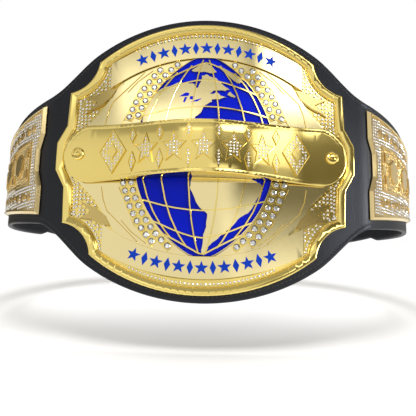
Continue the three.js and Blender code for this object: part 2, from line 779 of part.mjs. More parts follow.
// Blocks of the side plate's relief, as shares of its length and of its half height there
const reliefBlocks = [
  { along: 0.32, up: 0, wide: 0.15, high: 0.26, sides: 6 },
  { along: 0.56, up: 0, wide: 0.17, high: 0.3, sides: 6 },
  { along: 0.78, up: 0, wide: 0.12, high: 0.24, sides: 6 },
  { along: 0.2, up: 0.22, wide: 0.06, high: 0.13, sides: 4 },
  { along: 0.2, up: -0.22, wide: 0.06, high: 0.13, sides: 4 },
  { along: 0.44, up: 0.27, wide: 0.07, high: 0.12, sides: 4 },
  { along: 0.44, up: -0.27, wide: 0.07, high: 0.12, sides: 4 },
  { along: 0.68, up: 0.27, wide: 0.07, high: 0.12, sides: 4 },
  { along: 0.68, up: -0.27, wide: 0.07, high: 0.12, sides: 4 },
];

function sidePlate(hand) {
  const outline = sideOutline(hand);
  const face = gap + sideBase;
  const whole = slab(outline, gap, face + sideRim);
  const field = slab(inset(outline, sideRimWidth), face, face + sideRim + 1);
  const blocks = reliefBlocks.map((b) => {
    const s = sideStart + b.along * sideLength;
    const half = sideHalfNear + (sideHalfFar - sideHalfNear) * b.along;
    const points = Array.from({ length: b.sides }, (_, k) => {
      const angle = ((k + 0.5) * 2 * Math.PI) / b.sides;
      return [hand * (s + b.wide * sideLength * 0.5 * Math.cos(angle)), b.up * half + b.high * half * Math.sin(angle)];
    });
    return slab(hand > 0 ? points : points.reverse(), face - 0.5, face + sideRelief);
  });
  return bend(wasm.Manifold.union([whole.subtract(field), ...blocks]));
}

// Places of the round fixings
const postInset = 17;
const platePosts = [[0, plateTop - postInset], [0, postInset - plateBottom]];
const sidePosts = [1, -1].flatMap((hand) => (
  [0.2, 0.8].map((share) => [hand * onFacet(sideStart + share * sideLength), 0])
));
const studPlaces = [];
for (let row = 0; row < studRows; row++) {
  for (let column = 0; column < studColumns; column++) {
    const along = (column - (studColumns - 1) / 2) * studPitchAlong;
    studPlaces.push([onFacet(loop.half + along), (row - (studRows - 1) / 2) * studPitchUp]);
  }
}

// A post behind a plate: a flat head inside the strap and a shank through the leather
function post([s, z]) {
  const head = -leather - gap - postHeadHeight;
  return turned([[0, head], [postHead, head], [postHead, head + postHeadHeight],
    [shankRadius, head + postHeadHeight], [shankRadius, 0], [0, 0]], s, z);
}

// A banner screw: domed head with a round recess, a shank through all layers and a nut inside the strap
function bannerScrew(s) {
  const foot = bannerLow + gap;
  const nut = -leather - gap - postHeadHeight;
  return turned([[0, nut], [postHead, nut], [postHead, nut + postHeadHeight], [shankRadius, nut + postHeadHeight],
    [shankRadius, foot], [screwHead, foot], [screwHead, foot + 1], [screwHead - 1.2, foot + 2],
    [screwHead * 0.5, foot + 2], [screwHead * 0.4, foot + 0.8], [0, foot + 0.8]], s, 0);
}

// A press stud through both ends of the strap at the back
function pressStud([s, z]) {
  const top = leather + 2 * gap;
  const back = -leather - gap - studBack;
  return turned([[0, back], [studHead - 1.5, back], [studHead - 1, back + studBack], [shankRadius, back + studBack],
    [shankRadius, top], [studHead, top], [studHead, top + studCap * 0.4],
    [studHead * 0.7, top + studCap], [0, top + studCap]], s, z);
}

const drill = (solid, places, low, high) => (
  places.reduce((rest, [s, z]) => rest.subtract(shankHole(s, z, low, high)), solid)
);
const screwPlaces = [[-screwPlace, 0], [screwPlace, 0]];
const through = [-leather - 2, bannerLow + bannerRise];

addPiece('strap', drill(strapSolid(), [...screwPlaces, ...platePosts, ...sidePosts, ...studPlaces],
  -leather - 1, leather + 1), blackLeather);
addPiece('main_plate', drill(mainPlate(), screwPlaces, ...through), gold);
addPiece('sunburst_panel', drill(sunburstPanel(), screwPlaces, ...through), gold);
addPiece('upper_ribbon', ribbon(1), gold);
addPiece('lower_ribbon', ribbon(-1), gold);
addPiece('globe_sea', seaDisc(), blueEnamel);
addPiece('globe_map', globeMap(), gold);
addPiece('banner', drill(banner(), screwPlaces, ...through), gold);
['upper', 'lower'].forEach((name) => {
  addPiece(`stones_${name}_left`, stoneField(name, -1), crystal);
  addPiece(`stones_${name}_right`, stoneField(name, 1), crystal);
});
addPiece('side_plate_left', sidePlate(-1), rosyGold);
addPiece('side_plate_right', sidePlate(1), rosyGold);
screwPlaces.forEach(([s], i) => addPiece(`banner_screw_${i + 1}`, bannerScrew(s), gold));
platePosts.forEach((place, i) => addPiece(`plate_post_${i + 1}`, post(place), nickel));
sidePosts.forEach((place, i) => addPiece(`side_post_${i + 1}`, post(place), nickel));
studPlaces.forEach((place, i) => addPiece(`press_stud_${i + 1}`, pressStud(place), nickel));

export default belt;
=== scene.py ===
"""Looks of the title belt: polished plates, enamel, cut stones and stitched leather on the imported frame."""
import math
import random

import bmesh
import bpy
import numpy as np
from mathutils import Matrix, Vector


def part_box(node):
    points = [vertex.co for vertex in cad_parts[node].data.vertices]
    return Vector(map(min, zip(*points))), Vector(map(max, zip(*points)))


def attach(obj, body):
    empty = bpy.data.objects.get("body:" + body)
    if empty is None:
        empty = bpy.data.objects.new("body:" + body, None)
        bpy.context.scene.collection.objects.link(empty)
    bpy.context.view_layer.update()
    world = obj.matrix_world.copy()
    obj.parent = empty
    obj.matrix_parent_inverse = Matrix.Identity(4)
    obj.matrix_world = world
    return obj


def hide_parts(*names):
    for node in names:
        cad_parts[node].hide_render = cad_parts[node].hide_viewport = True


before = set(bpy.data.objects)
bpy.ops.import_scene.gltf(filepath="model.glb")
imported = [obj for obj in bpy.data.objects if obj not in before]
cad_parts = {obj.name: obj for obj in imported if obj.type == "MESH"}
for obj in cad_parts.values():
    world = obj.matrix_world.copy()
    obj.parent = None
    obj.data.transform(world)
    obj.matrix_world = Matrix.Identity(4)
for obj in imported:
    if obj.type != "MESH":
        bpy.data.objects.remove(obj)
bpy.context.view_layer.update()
rng = random.Random(7)
MM = 0.001

# Loop of the strap, in millimetres
FRONT_RADIUS = 520
FRONT_REACH = 140
CORNER_RADIUS = 26
CORNER_TURN = math.radians(40)
SIDE_RADIUS = 160
BACK_TURN = math.radians(150)
OVERLAP = 120
OVERLAP_RAMP = 60
LEATHER = 4.0
GAP = 0.3


def loop_arcs():
    front_turn = FRONT_REACH / FRONT_RADIUS
    reach = FRONT_RADIUS * math.sin(front_turn)
    reach += CORNER_RADIUS * (math.sin(CORNER_TURN) - math.sin(front_turn))
    back = SIDE_RADIUS + (reach - SIDE_RADIUS * math.sin(CORNER_TURN)) / math.sin(BACK_TURN)
    turns = [0, front_turn, CORNER_TURN, BACK_TURN, math.pi]
    arcs, start, x, y = [], 0.0, 0.0, 0.0
    for radius, low, high in zip([FRONT_RADIUS, CORNER_RADIUS, SIDE_RADIUS, back], turns, turns[1:]):
        arcs.append((start, radius, low, x, y))
        start += radius * (high - low)
        x += radius * (math.sin(high) - math.sin(low))
        y += radius * (math.cos(low) - math.cos(high))
    return arcs, start, y


ARCS, HALF, DEPTH = loop_arcs()
STRAP_REACH = HALF + OVERLAP / 2


def wrap(points):
    """Bends flat points (along, up, out) round the loop, all in millimetres."""
    points = np.asarray(points, float).reshape(-1, 3)
    length = np.abs(points[:, 0])
    side = np.where(points[:, 0] < 0, -1.0, 1.0)
    x, y, turn = np.zeros_like(length), np.zeros_like(length), np.zeros_like(length)
    for start, radius, low, ax, ay in ARCS:
        on = length >= start
        angle = low + (length[on] - start) / radius
        turn[on] = angle
        x[on] = ax + radius * (np.sin(angle) - math.sin(low))
        y[on] = ay + radius * (math.cos(low) - np.cos(angle))
    out = points[:, 2]
    return np.stack([
        side * (x + out * np.sin(turn)),
        y - DEPTH / 2 - out * np.cos(turn),
        points[:, 1],
    ], 1)


# Node material helpers

class Look:
    """A material whose node tree is built in short steps."""

    def __init__(self, name):
        self.material = bpy.data.materials.new(name)
        self.material.use_nodes = True
        self.nodes = self.material.node_tree.nodes
        self.links = self.material.node_tree.links
        self.surface = self.nodes["Principled BSDF"]

    def add(self, kind, **values):
        node = self.nodes.new(kind)
        for key, value in values.items():
            if hasattr(node, key):
                setattr(node, key, value)
            else:
                node.inputs[key.replace("_", " ").title()].default_value = value
        return node

    def link(self, source, target, name):
        self.links.new(source, target.inputs[name])

    def set(self, **values):
        for key, value in values.items():
            self.surface.inputs[key.replace("_", " ")].default_value = value

    def flat_place(self):
        return self.add("ShaderNodeAttribute", attribute_name="flat").outputs["Vector"]

    def noise(self, scale, detail=3.0, place=None):
        node = self.add("ShaderNodeTexNoise", scale=scale, detail=detail)
        self.link(place or self.object_place(), node, "Vector")
        return node.outputs["Fac"]

    def object_place(self):
        return self.add("ShaderNodeTexCoord").outputs["Object"]

    def span(self, value, low, high, start=0.0, end=1.0):
        node = self.add("ShaderNodeMapRange")
        for name, number in (("From Min", start), ("From Max", end), ("To Min", low), ("To Max", high)):
            node.inputs[name].default_value = number
        self.link(value, node, "Value")
        return node.outputs["Result"]

    def blend(self, share, first, second):
        node = self.add("ShaderNodeMix", data_type="RGBA")
        self.link(share, node, 0)
        for slot, colour in ((6, first), (7, second)):
            node.inputs[slot].default_value = (*colour, 1)
        return node.outputs[2]

    def bump(self, height, strength, distance):
        node = self.add("ShaderNodeBump")
        node.inputs["Strength"].default_value = strength
        node.inputs["Distance"].default_value = distance
        self.link(height, node, "Height")
        self.link(node.outputs["Normal"], self.surface, "Normal")


def metal(name, bright, deep, rough):
    look = Look(name)
    look.set(Metallic=1.0)
    cloud = look.noise(14.0, 2.0)
    look.link(look.blend(cloud, bright, deep), look.surface, "Base Color")
    look.link(look.span(look.noise(40.0, 4.0), rough * 0.8, rough * 1.25), look.surface, "Roughness")
    look.bump(look.noise(120.0, 2.0), 0.02, 0.0004)
    return look.material


GOLD = metal("polished gold", (0.93, 0.75, 0.27), (0.88, 0.69, 0.21), 0.09)
FIELD_GOLD = metal("cast gold", (0.8, 0.58, 0.16), (0.62, 0.42, 0.09), 0.3)
SATIN_GOLD = metal("satin gold", (0.93, 0.81, 0.44), (0.89, 0.75, 0.38), 0.1)
DEEP_GOLD = metal("deep gold", (0.68, 0.53, 0.21), (0.58, 0.43, 0.15), 0.14)
ROSY_GOLD = metal("rosy gold", (0.87, 0.7, 0.37), (0.74, 0.57, 0.28), 0.2)
NICKEL = metal("nickel", (0.72, 0.72, 0.74), (0.62, 0.62, 0.65), 0.18)


def enamel(name, colour):
    look = Look(name)
    look.link(look.blend(look.noise(30.0), colour, [c * 0.8 for c in colour]), look.surface, "Base Color")
    look.set(Roughness=0.3, **{"Specular IOR Level": 0.1})
    return look.material


BLUE = enamel("blue enamel", (0.0005, 0.009, 0.5))
PAINT_BLUE = enamel("blue paint", (0.004, 0.04, 0.4))


def leather(name, colour, rough):
    look = Look(name)
    place = look.flat_place()
    grain = look.add("ShaderNodeTexVoronoi", feature="SMOOTH_F1", scale=1.1)
    look.link(place, grain, "Vector")
    wear = look.noise(0.03, 4.0, place)
    look.link(look.blend(wear, colour, [c * 1.9 for c in colour]), look.surface, "Base Color")
    look.link(look.span(wear, rough * 0.85, rough * 1.2), look.surface, "Roughness")
    look.bump(grain.outputs["Distance"], 0.22, 0.0005)
    look.set(**{"Specular IOR Level": 0.45, "Specular Tint": (0.8, 0.86, 1.0, 1.0)})
    return look.material


BLACK_LEATHER = leather("black leather", (0.003, 0.003, 0.004), 0.43)


def thread():
    look = Look("thread")
    fibres = look.blend(look.noise(300.0), (0.02, 0.02, 0.022), (0.045, 0.045, 0.05))
    look.link(fibres, look.surface, "Base Color")
    look.set(Roughness=0.7)
    return look.material


def crystal(name, low, high, rough):
    look = Look(name)
    # The base colour is painted sparkle: each facet is painted between a dark and a white colour, standing in
    # for the light and dark glints that a colourless cut stone reflects.
    share = look.add("ShaderNodeAttribute", attribute_name="sparkle").outputs["Fac"]
    look.link(look.blend(share, low, high), look.surface, "Base Color")
    look.set(Metallic=0.85, Roughness=rough)
    return look.material


THREAD = thread()
# Both stone looks are painted from dark to light facet by facet, as painted glints.
CRYSTAL = crystal("cut crystal", (0.16, 0.17, 0.2), (1.0, 1.0, 1.0), 0.08)
SMALL_CRYSTAL = crystal("small crystal", (0.66, 0.64, 0.62), (1.0, 0.99, 0.97), 0.16)


# Mesh helpers: pieces are drawn flat, cut finely, then bent round the loop

def finish_piece(name, flat, faces, material, slot, smooth=35, painted_glints=None):
    mesh = bpy.data.meshes.new(name)
    flat = np.asarray(flat, float)
    mesh.from_pydata((wrap(flat) * MM).tolist(), [], faces)
    drawn = mesh.attributes.new("flat", "FLOAT_VECTOR", "POINT")
    drawn.data.foreach_set("vector", flat.astype(np.float32).ravel())
    # Painted glints, one per face, are stored as the painted sparkle that the crystal looks read as base colour.
    if painted_glints is not None:
        sparkle = mesh.attributes.new("sparkle", "FLOAT", "FACE")
        sparkle.data.foreach_set("value", np.asarray(painted_glints, np.float32))
    mesh.materials.append(material)
    if smooth:
        mesh.shade_smooth()
        mesh.set_sharp_from_angle(angle=math.radians(smooth))
    piece = bpy.data.objects.new(name, mesh)
    bpy.context.scene.collection.objects.link(piece)
    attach(piece, "root")
    return piece


def tube_faces(rows, count):
    """Faces between rows of points that are closed rings, and a cap at both ends."""
    faces = []
    for i in range(rows - 1):
        low, high = i * count, (i + 1) * count
        for k in range(count):
            j = (k + 1) % count
            faces.append((low + k, low + j, high + j, high + k))
    faces.append(list(reversed(range(count))))
    faces.append([(rows - 1) * count + k for k in range(count)])
    return faces


def slab(bm, outline, low, high, bevel=0.0, segments=2):
    """Adds a flat slab with rounded upper edges to a bmesh."""
    top = [bm.verts.new((s, z, high)) for s, z in outline]
    face = bm.faces.new(top)
    face.normal_update()
    if face.normal.z < 0:
        face.normal_flip()
    edges = list(face.edges)
    sides = bmesh.ops.extrude_edge_only(bm, edges=edges)["geom"]
    for vert in sides:
        if isinstance(vert, bmesh.types.BMVert):
            vert.co.z = low
    if bevel:
        bmesh.ops.bevel(bm, geom=edges, offset=bevel, segments=segments, affect="EDGES", clamp_overlap=True)


def walls(bm, rings):
    """Joins closed rings of (along, up, out) points with faces, and gives back their vertices."""
    made = [[bm.verts.new(p) for p in ring] for ring in rings]
    count = len(made[0])
    for a, b in zip(made, made[1:]):
        for i in range(count):
            j = (i + 1) % count
            bm.faces.new((a[i], a[j], b[j], b[i]))
    return made


def bent_piece(name, bm, material, slot, step=6.0, rise=None, lift=None, smooth=35):
    """Cuts a flat bmesh along the strap (and up it, with rise), lifts it and bends it."""
    bmesh.ops.recalc_face_normals(bm, faces=bm.faces)
    bmesh.ops.triangulate(bm, faces=bm.faces)
    for axis, pitch in ((0, step), (1, rise)):
        if not pitch:
            continue
        low = min(v.co[axis] for v in bm.verts)
        high = max(v.co[axis] for v in bm.verts)
        normal = [1 if k == axis else 0 for k in range(3)]
        for k in range(math.floor(low / pitch) + 1, math.ceil(high / pitch)):
            point = [k * pitch * n for n in normal]
            everything = bm.verts[:] + bm.edges[:] + bm.faces[:]
            bmesh.ops.bisect_plane(bm, geom=everything, plane_co=point, plane_no=normal, dist=1e-5)
    bmesh.ops.triangulate(bm, faces=[f for f in bm.faces if len(f.verts) > 4])
    bm.verts.index_update()
    flat = [list(v.co) for v in bm.verts]
    if lift:
        flat = [[s, z, lift(s, z, r)] for s, z, r in flat]
    faces = [[v.index for v in f.verts] for f in bm.faces]
    bm.free()
    return finish_piece(name, flat, faces, material, slot, smooth)


def mirror_s(points):
    return [(-s, z) for s, z in reversed(points)]


def mirror_z(points):
    return [(s, -z) for s, z in reversed(points)]


def moved(points, up):
    return [(s, z + up) for s, z in points]


def inset(points, distance):
    """The outline moved inwards, with sharp corners kept."""
    count = len(points)
    area = sum(p[0] * q[1] - q[0] * p[1] for p, q in zip(points, points[1:] + points[:1]))
    turn = math.copysign(1, area)
    result = []
    for i, p in enumerate(points):
        before, after = points[i - 1], points[(i + 1) % count]
        a = Vector((p[0] - before[0], p[1] - before[1])).normalized()
        b = Vector((after[0] - p[0], after[1] - p[1])).normalized()
        normal = Vector((-(a.y + b.y), a.x + b.x)).normalized()
        stretch = 1 / max(0.35, normal.dot(Vector((-a.y, a.x))))
        move = turn * distance * stretch
        result.append((p[0] + normal.x * move, p[1] + normal.y * move))
    return result


def bow_height(s, reach, middle, end):
    """Height at s of an arc that is middle high at its crown and end high at both ends."""
    rise = middle - end
    radius = (reach * reach + rise * rise) / (2 * rise)
    return middle - radius + math.sqrt(radius * radius - s * s)


def bow(reach, middle, end, count):
    places = [-reach + 2 * reach * k / count for k in range(count + 1)]
    return [(s, bow_height(s, reach, middle, end)) for s in places]


def band(points, width):
    """A ribbon of one width along a line of points."""
    left, right = [], []
    for i, p in enumerate(points):
        before, after = points[max(0, i - 1)], points[min(len(points) - 1, i + 1)]
        along = Vector((after[0] - before[0], after[1] - before[1])).normalized() * (width / 2)
        left.append((p[0] - along.y, p[1] + along.x))
        right.append((p[0] + along.y, p[1] - along.x))
    return left + right[::-1]


def inside(points, outline):
    """Which of the points lie inside the outline."""
    points = np.asarray(points, float)
    result = np.zeros(len(points), bool)
    x, y = points[:, 0], points[:, 1]
    for (x1, y1), (x2, y2) in zip(outline, outline[1:] + outline[:1]):
        if y1 == y2:
            continue
        crosses = (y1 > y) != (y2 > y)
        at = x1 + (y - y1) * (x2 - x1) / (y2 - y1)
        result ^= crosses & (x < at)
    return result


def clearance(points, outline):
    """Distance of each point from the outline."""
    points = np.asarray(points, float)
    best = np.full(len(points), 1e9)
    for a, b in zip(outline, outline[1:] + outline[:1]):
        a, b = np.array(a, float), np.array(b, float)
        along = b - a
        share = np.clip(((points - a) @ along) / max(along @ along, 1e-9), 0, 1)
        best = np.minimum(best, np.linalg.norm(points - a - share[:, None] * along, axis=1))
    return best


# Main plate

PLATE_HALF = 132
PLATE_TOP = 120.5
PLATE_BOTTOM = 123
PLATE_FACE = 3.3
RIM_WIDTH = 8
SCALLOP_RADIUS = 30.8
PLATE_CORNERS = [
    ("shoulder", 0.727, 0.722),
    ("ear", 0.925, 0.494),
    ("hollow", 0.934, 0.233),
    ("hip", 1.0, 0.104),
]


def plate_quarter(crown):
    shoulder, ear, hollow, hip = [(a * PLATE_HALF, u * crown) for _, a, u in PLATE_CORNERS]
    top = bow(shoulder[0], crown, shoulder[1], 64)[32:]
    middle = ((shoulder[0] + ear[0]) / 2, (shoulder[1] + ear[1]) / 2)
    chord = (ear[0] - shoulder[0], ear[1] - shoulder[1])
    half = math.hypot(*chord) / 2
    away = math.sqrt(SCALLOP_RADIUS ** 2 - half ** 2) / (2 * half)
    centre = (middle[0] - chord[1] * away, middle[1] + chord[0] * away)
    low = math.atan2(shoulder[1] - centre[1], shoulder[0] - centre[0]) + 2 * math.pi
    high = math.atan2(ear[1] - centre[1], ear[0] - centre[0]) + 2 * math.pi
    turns = [low + (high - low) * k / 12 for k in range(1, 13)]
    scallop = [(centre[0] + SCALLOP_RADIUS * math.cos(t), centre[1] + SCALLOP_RADIUS * math.sin(t))
               for t in turns]
    return top + scallop + [hollow, hip]


def plate_outline():
    right = plate_quarter(PLATE_TOP) + mirror_z(plate_quarter(PLATE_BOTTOM))
    return right + mirror_s(right[1:-1])


def moulding(name, outline, rows, material, slot, step=6.0, smooth=30):
    """A closed band that follows an outline, with its section as (inset, height) rows, and a cap inside."""
    rings = [[(s, z, height) for s, z in inset(outline, distance)] for distance, height in rows]
    bm = bmesh.new()
    made = walls(bm, rings)
    bm.faces.new(made[-1])
    bm.faces.new(list(reversed(made[0])))
    return bent_piece(name, bm, material, slot, step, smooth=smooth)


PLATE = plate_outline()
plate_rows = [
    (0.5, 0.3), (0, 0.8), (0, 5.3), (0.25, 5.9), (0.8, 6.25), (1.3, 6.3), (6.0, 5.5), (6.4, 5.2),
    (6.6, 4.5), (6.9, 4.3), (7.2, 4.7), (7.6, 4.9), (8.0, 4.7), (8.2, 4.2), (8.3, 3.3),
]
plate = moulding("main_plate_look", PLATE, plate_rows, GOLD, "gold")
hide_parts("main_plate")


# Panel, ribbons and tails

DROP = -1.5
RIBBON_END = 84.5
RIBBON_OUTER = (107.8, 85.2)
RIBBON_INNER = (89.2, 61.5)
PANEL_FOOT = 3.6
PANEL_FACE = 5.1
RIBBON_FACE = 7.4
TAIL_FACE = 5.8
TAIL = [
    ("root", -6.5, -1), ("corner", 0.6, -1), ("upper edge", 11, 4.5), ("upper tip", 22.5, 6),
    ("notch", 12, 11.5), ("lower tip", 22.5, 21.5), ("lower edge", 8, 15), ("fold", -2, 7.5),
]
PANEL_CORNERS = [("diagonal", 92, 41.5), ("edge", 104, 29), ("under the banner", 113, 19)]

tail_outline = [(RIBBON_END + out, RIBBON_INNER[1] - down) for _, out, down in TAIL]
ribbon_outline = bow(RIBBON_END, *RIBBON_OUTER, 56) + bow(RIBBON_END, *RIBBON_INNER, 56)[::-1]


def both_ways(points, side):
    return moved(points if side > 0 else mirror_z(points), DROP)


def panel_outline():
    inner = bow(RIBBON_END, *RIBBON_INNER, 56)
    top = [(s, z - 0.6) for s, z in inner if 0 <= s < 76.5]
    quarter = top + [(a, u) for _, a, u in PANEL_CORNERS]
    right = quarter + mirror_z(quarter)
    return moved(right + mirror_s(right[1:-1]), DROP)


PANEL = panel_outline()
bm = bmesh.new()
slab(bm, PANEL, PANEL_FOOT, PANEL_FACE, 0.5)
panel = bent_piece("sunburst_look", bm, SATIN_GOLD, "gold")
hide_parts("sunburst_panel")

TAILS = []
for side, node in ((1, "upper_ribbon"), (-1, "lower_ribbon")):
    bm = bmesh.new()
    slab(bm, both_ways(ribbon_outline, side), PANEL_FOOT, RIBBON_FACE, 0.5)
    ribbon = bent_piece(node + "_look", bm, SATIN_GOLD, "gold", smooth=50)
    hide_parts(node)
    bm = bmesh.new()
    for points in (tail_outline, mirror_s(tail_outline)):
        TAILS.append(both_ways(points, side))
        slab(bm, TAILS[-1], PANEL_FOOT, TAIL_FACE, 0.6)
        fold = [points[0], points[1], points[7]]
        slab(bm, both_ways(inset(fold, 0.8), side), TAIL_FACE - 0.2, TAIL_FACE + 0.5, 0.2)
    bent_piece(node + "_tails", bm, DEEP_GOLD, "gold")


# Globe

LIMB_RADIUS = 103
LIMB_SHIFT = 43
GLOBE_HALF = LIMB_RADIUS - LIMB_SHIFT
GLOBE_HEIGHT = 90
SEA_FACE = PANEL_FACE + 0.3 + 0.8
MAP_FOOT = SEA_FACE + 0.3
MAP_FACE = MAP_FOOT + 0.7
LIMB_FACE = MAP_FACE + 0.3
LIMB_WIDTH = 0.5
LIMB_SHARE = 0.96
DOME_RISE = 3
DOME_FALL = 0.8
LINE = 1.3
LINE_REACH = 87.5
MERIDIAN = 25.3
PARALLEL = 20.7
PARALLEL_SHIFT = 7.5
PARALLEL_BOW = 0.19
MAP_CENTRE = -74
MAP_EAST = 1.65
MAP_NORTH = 1.13
MAP_TILT = 16


def limb(z):
    return math.sqrt(LIMB_RADIUS ** 2 - z * z) - LIMB_SHIFT


def dome(s, z):
    return DOME_RISE * (1 - DOME_FALL * ((s / GLOBE_HALF) ** 2 + ((z - DROP) / GLOBE_HEIGHT) ** 2))


def on_globe(east, north):
    share = math.sin(math.radians(max(-90, min(90, east))))
    height = GLOBE_HEIGHT * math.sin(math.radians(max(-89, min(89, north))))
    z = height * (1 - PARALLEL_BOW * share * share)
    return (limb(z) * share, z + DROP)


def on_map(longitude, latitude):
    return on_globe((longitude - MAP_CENTRE) * MAP_EAST, latitude * MAP_NORTH - MAP_TILT)


LANDS = {
    "south": [
        (-77, 9), (-79, 3), (-81, -4), (-79, -8), (-76, -14), (-71, -18), (-71, -26), (-73, -38),
        (-74, -44), (-75, -50), (-72, -54), (-67, -55.5), (-68, -51), (-66, -47), (-65, -43),
        (-62, -40), (-58, -38), (-57, -36), (-54, -34), (-49, -28), (-48, -25), (-41, -22),
        (-39, -17), (-38, -12), (-35, -8), (-36, -5), (-42, -2), (-50, 1), (-52, 5), (-58, 7),
        (-62, 10.5), (-68, 11), (-72, 12),
    ],
    "north": [
        (-78, 7), (-81, 8), (-84, 8.5), (-87, 12.5), (-91, 14), (-96, 15.5), (-105, 19.5), (-106, 23),
        (-112, 29), (-117, 33), (-121, 36), (-124, 41), (-124, 47), (-128, 52), (-128, 57),
        (-120, 60), (-110, 60.5), (-100, 60), (-95, 59), (-93, 57), (-88, 56), (-83, 54.5), (-82, 52),
        (-80, 51.3), (-79, 54), (-77.5, 57), (-78, 61), (-73, 62), (-69, 60), (-65, 60), (-61, 56),
        (-56, 52.5), (-60, 50.5), (-65, 50), (-69, 49), (-71, 47), (-66, 48.5), (-64, 46.5),
        (-60, 46), (-65, 44), (-70, 43.5), (-70, 42), (-74, 40), (-76, 36), (-79, 33.5), (-81, 31),
        (-80, 26), (-82, 28), (-85, 30), (-90, 29.5), (-95, 29), (-98, 25), (-97, 21), (-93, 18.5),
        (-90, 21), (-87, 21), (-88, 17), (-84, 15.5), (-83, 11.5), (-79, 9.5), (-77, 10),
    ],
    "island": [
        (-50, 80), (-55, 78), (-58, 76), (-54, 73), (-52, 70), (-49, 65), (-45, 62), (-41, 64),
        (-37, 67), (-32, 74), (-40, 78),
    ],
    "arctic": [
        (-92, 70), (-88, 67), (-84, 66), (-78, 64.5), (-72, 64), (-66, 64), (-62, 66), (-64, 69),
        (-66, 72), (-74, 74), (-80, 76), (-86, 73),
    ],
    "newfoundland": [
        (-59, 48), (-56, 51), (-55, 49.5), (-53, 48), (-54, 47),
    ],
    "isle": [
        (-84, 22), (-80, 23), (-75, 21), (-71, 19), (-77, 19.5),
    ],
}
LAKES = [
    [(-92, 47), (-88, 49), (-85, 48), (-85, 46.5), (-88, 46.5)],
    [(-87.5, 46), (-86, 45.5), (-87, 42), (-88, 43)],
    [(-84, 46), (-81, 45.5), (-82, 43.5), (-84, 44)],
    [(-83, 42), (-79, 43.5), (-76, 44), (-79, 42.2)],
]


def ragged(coast, depth, share=0.09):
    """A coast with finer and finer bays between its corners."""
    for _ in range(depth):
        finer = []
        for a, b in zip(coast, coast[1:] + coast[:1]):
            off = rng.uniform(-share, share)
            finer.append(a)
            finer.append(((a[0] + b[0]) / 2 - (b[1] - a[1]) * off, (a[1] + b[1]) / 2 + (b[0] - a[0]) * off))
        coast = finer
    return coast


def globe_outline(shrink, count=60):
    tip = math.acos(LIMB_SHIFT / LIMB_RADIUS) * LIMB_SHARE
    radius = LIMB_RADIUS - shrink
    turns = [tip - 2 * tip * k / count for k in range(count + 1)]
    right = [(-LIMB_SHIFT + radius * math.cos(t), radius * math.sin(t)) for t in turns]
    edge = bow(RIBBON_END, RIBBON_INNER[0] - 0.6, RIBBON_INNER[1] - 0.6, 56)
    middle = edge[28][1]
    kept = [(s, max(-middle, min(middle, z))) for s, z in right]
    return moved(kept + mirror_s(kept), DROP)


def domed(foot):
    return lambda s, z, r: r + (dome(s, z) if r > foot else 0)


bm = bmesh.new()
slab(bm, globe_outline(0), PANEL_FACE + 0.3, SEA_FACE, 0.3)
sea = bent_piece("sea_look", bm, BLUE, "enamel", 6, 6, domed(PANEL_FACE + 0.35), 60)
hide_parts("globe_sea")


def globe_lines():
    lines = []
    for k in range(6):
        lines.append([on_globe((k - 2.5) * MERIDIAN, -78 + 12 * i) for i in range(14)])
    for k in range(-4, 4):
        lines.append([on_globe(-86 + 14.333 * i, PARALLEL_SHIFT + k * PARALLEL) for i in range(13)])
    return [[p for p in line if abs(p[1] - DROP) < LINE_REACH] for line in lines]


bm = bmesh.new()
for line in globe_lines():
    slab(bm, band(line, LINE), MAP_FOOT, MAP_FACE + 0.15, 0.25, 1)
outer, inner = globe_outline(0.0), globe_outline(LIMB_WIDTH)
limb_rows = [(outer, MAP_FOOT), (outer, LIMB_FACE), (inner, LIMB_FACE), (inner, MAP_FOOT)]
walls(bm, [[(s, z, height) for s, z in edge] for edge, height in limb_rows])
bent_piece("globe_net_look", bm, GOLD, "gold", 6, 6, domed(0), 40)

bm = bmesh.new()
for coast in LANDS.values():
    slab(bm, [on_map(*p) for p in ragged(coast, 2)], MAP_FOOT - 0.3, MAP_FACE)
land = bent_piece("globe_land_look", bm, SATIN_GOLD, "gold", 6, 6, domed(0), 40)
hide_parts("globe_map")
bm = bmesh.new()
for shore in LAKES:
    slab(bm, [on_map(*p) for p in ragged(shore, 1)], MAP_FOOT, MAP_FACE + 0.06)
bent_piece("lakes_look", bm, BLUE, "enamel", 6, 6, domed(0), 40)


# Stones

def stone_mesh(name, places, facets, rows, material, lift=None, slot="crystal"):
    """Faceted stones at (along, up, foot) places, each row of the section as (radius, height), with a painted
    glint of random brightness on each facet.
    """
    flat, faces, painted_glints = [], [], []
    for s, z, foot in places:
        start = len(flat)
        turn = rng.random()
        for k, (radius, height) in enumerate(rows):
            for i in range(facets):
                angle = (i + turn + 0.5 * (k % 2)) * 2 * math.pi / facets
                flat.append([s + radius * math.cos(angle), z + radius * math.sin(angle), foot + height])
        for k in range(len(rows) - 1):
            a, b = start + k * facets, start + (k + 1) * facets
            for i in range(facets):
                j = (i + 1) % facets
                pairs = ((a + i, a + j, b + i), (a + j, b + j, b + i))
                if k % 2:
                    pairs = ((a + i, a + j, b + j), (a + i, b + j, b + i))
                faces.extend(pairs)
                # Each side facet gets a random painted glint, from dark to light.
                painted_glints.extend(rng.random() for _ in pairs)
        faces.append([start + (len(rows) - 1) * facets + i for i in range(facets)])
        # The table facet is painted lighter, as a painted highlight.
        painted_glints.append(0.6 + 0.4 * rng.random())
    if lift:
        flat = [[s, z, lift(s, z, r)] for s, z, r in flat]
    return finish_piece(name, flat, faces, material, slot, 0, painted_glints)


STONE_ROWS = [
    ("upper", 4.4, 19.6, 9), ("upper", 11.3, 17.6, 8),
    ("lower", 4.4, -13.4, 10), ("lower", 11.3, -12.8, 9),
]
STONE_PITCH = 7.25
SETTING_FACE = 6.3
SETTING_RADIUS = 3.25
STRIP_WIDTH = 7.2
STRIP_OVER = 3.4
STONE_SECTION = [(2.75, -0.2), (2.75, 0.35), (2.2, 0.95), (1.35, 1.4)]


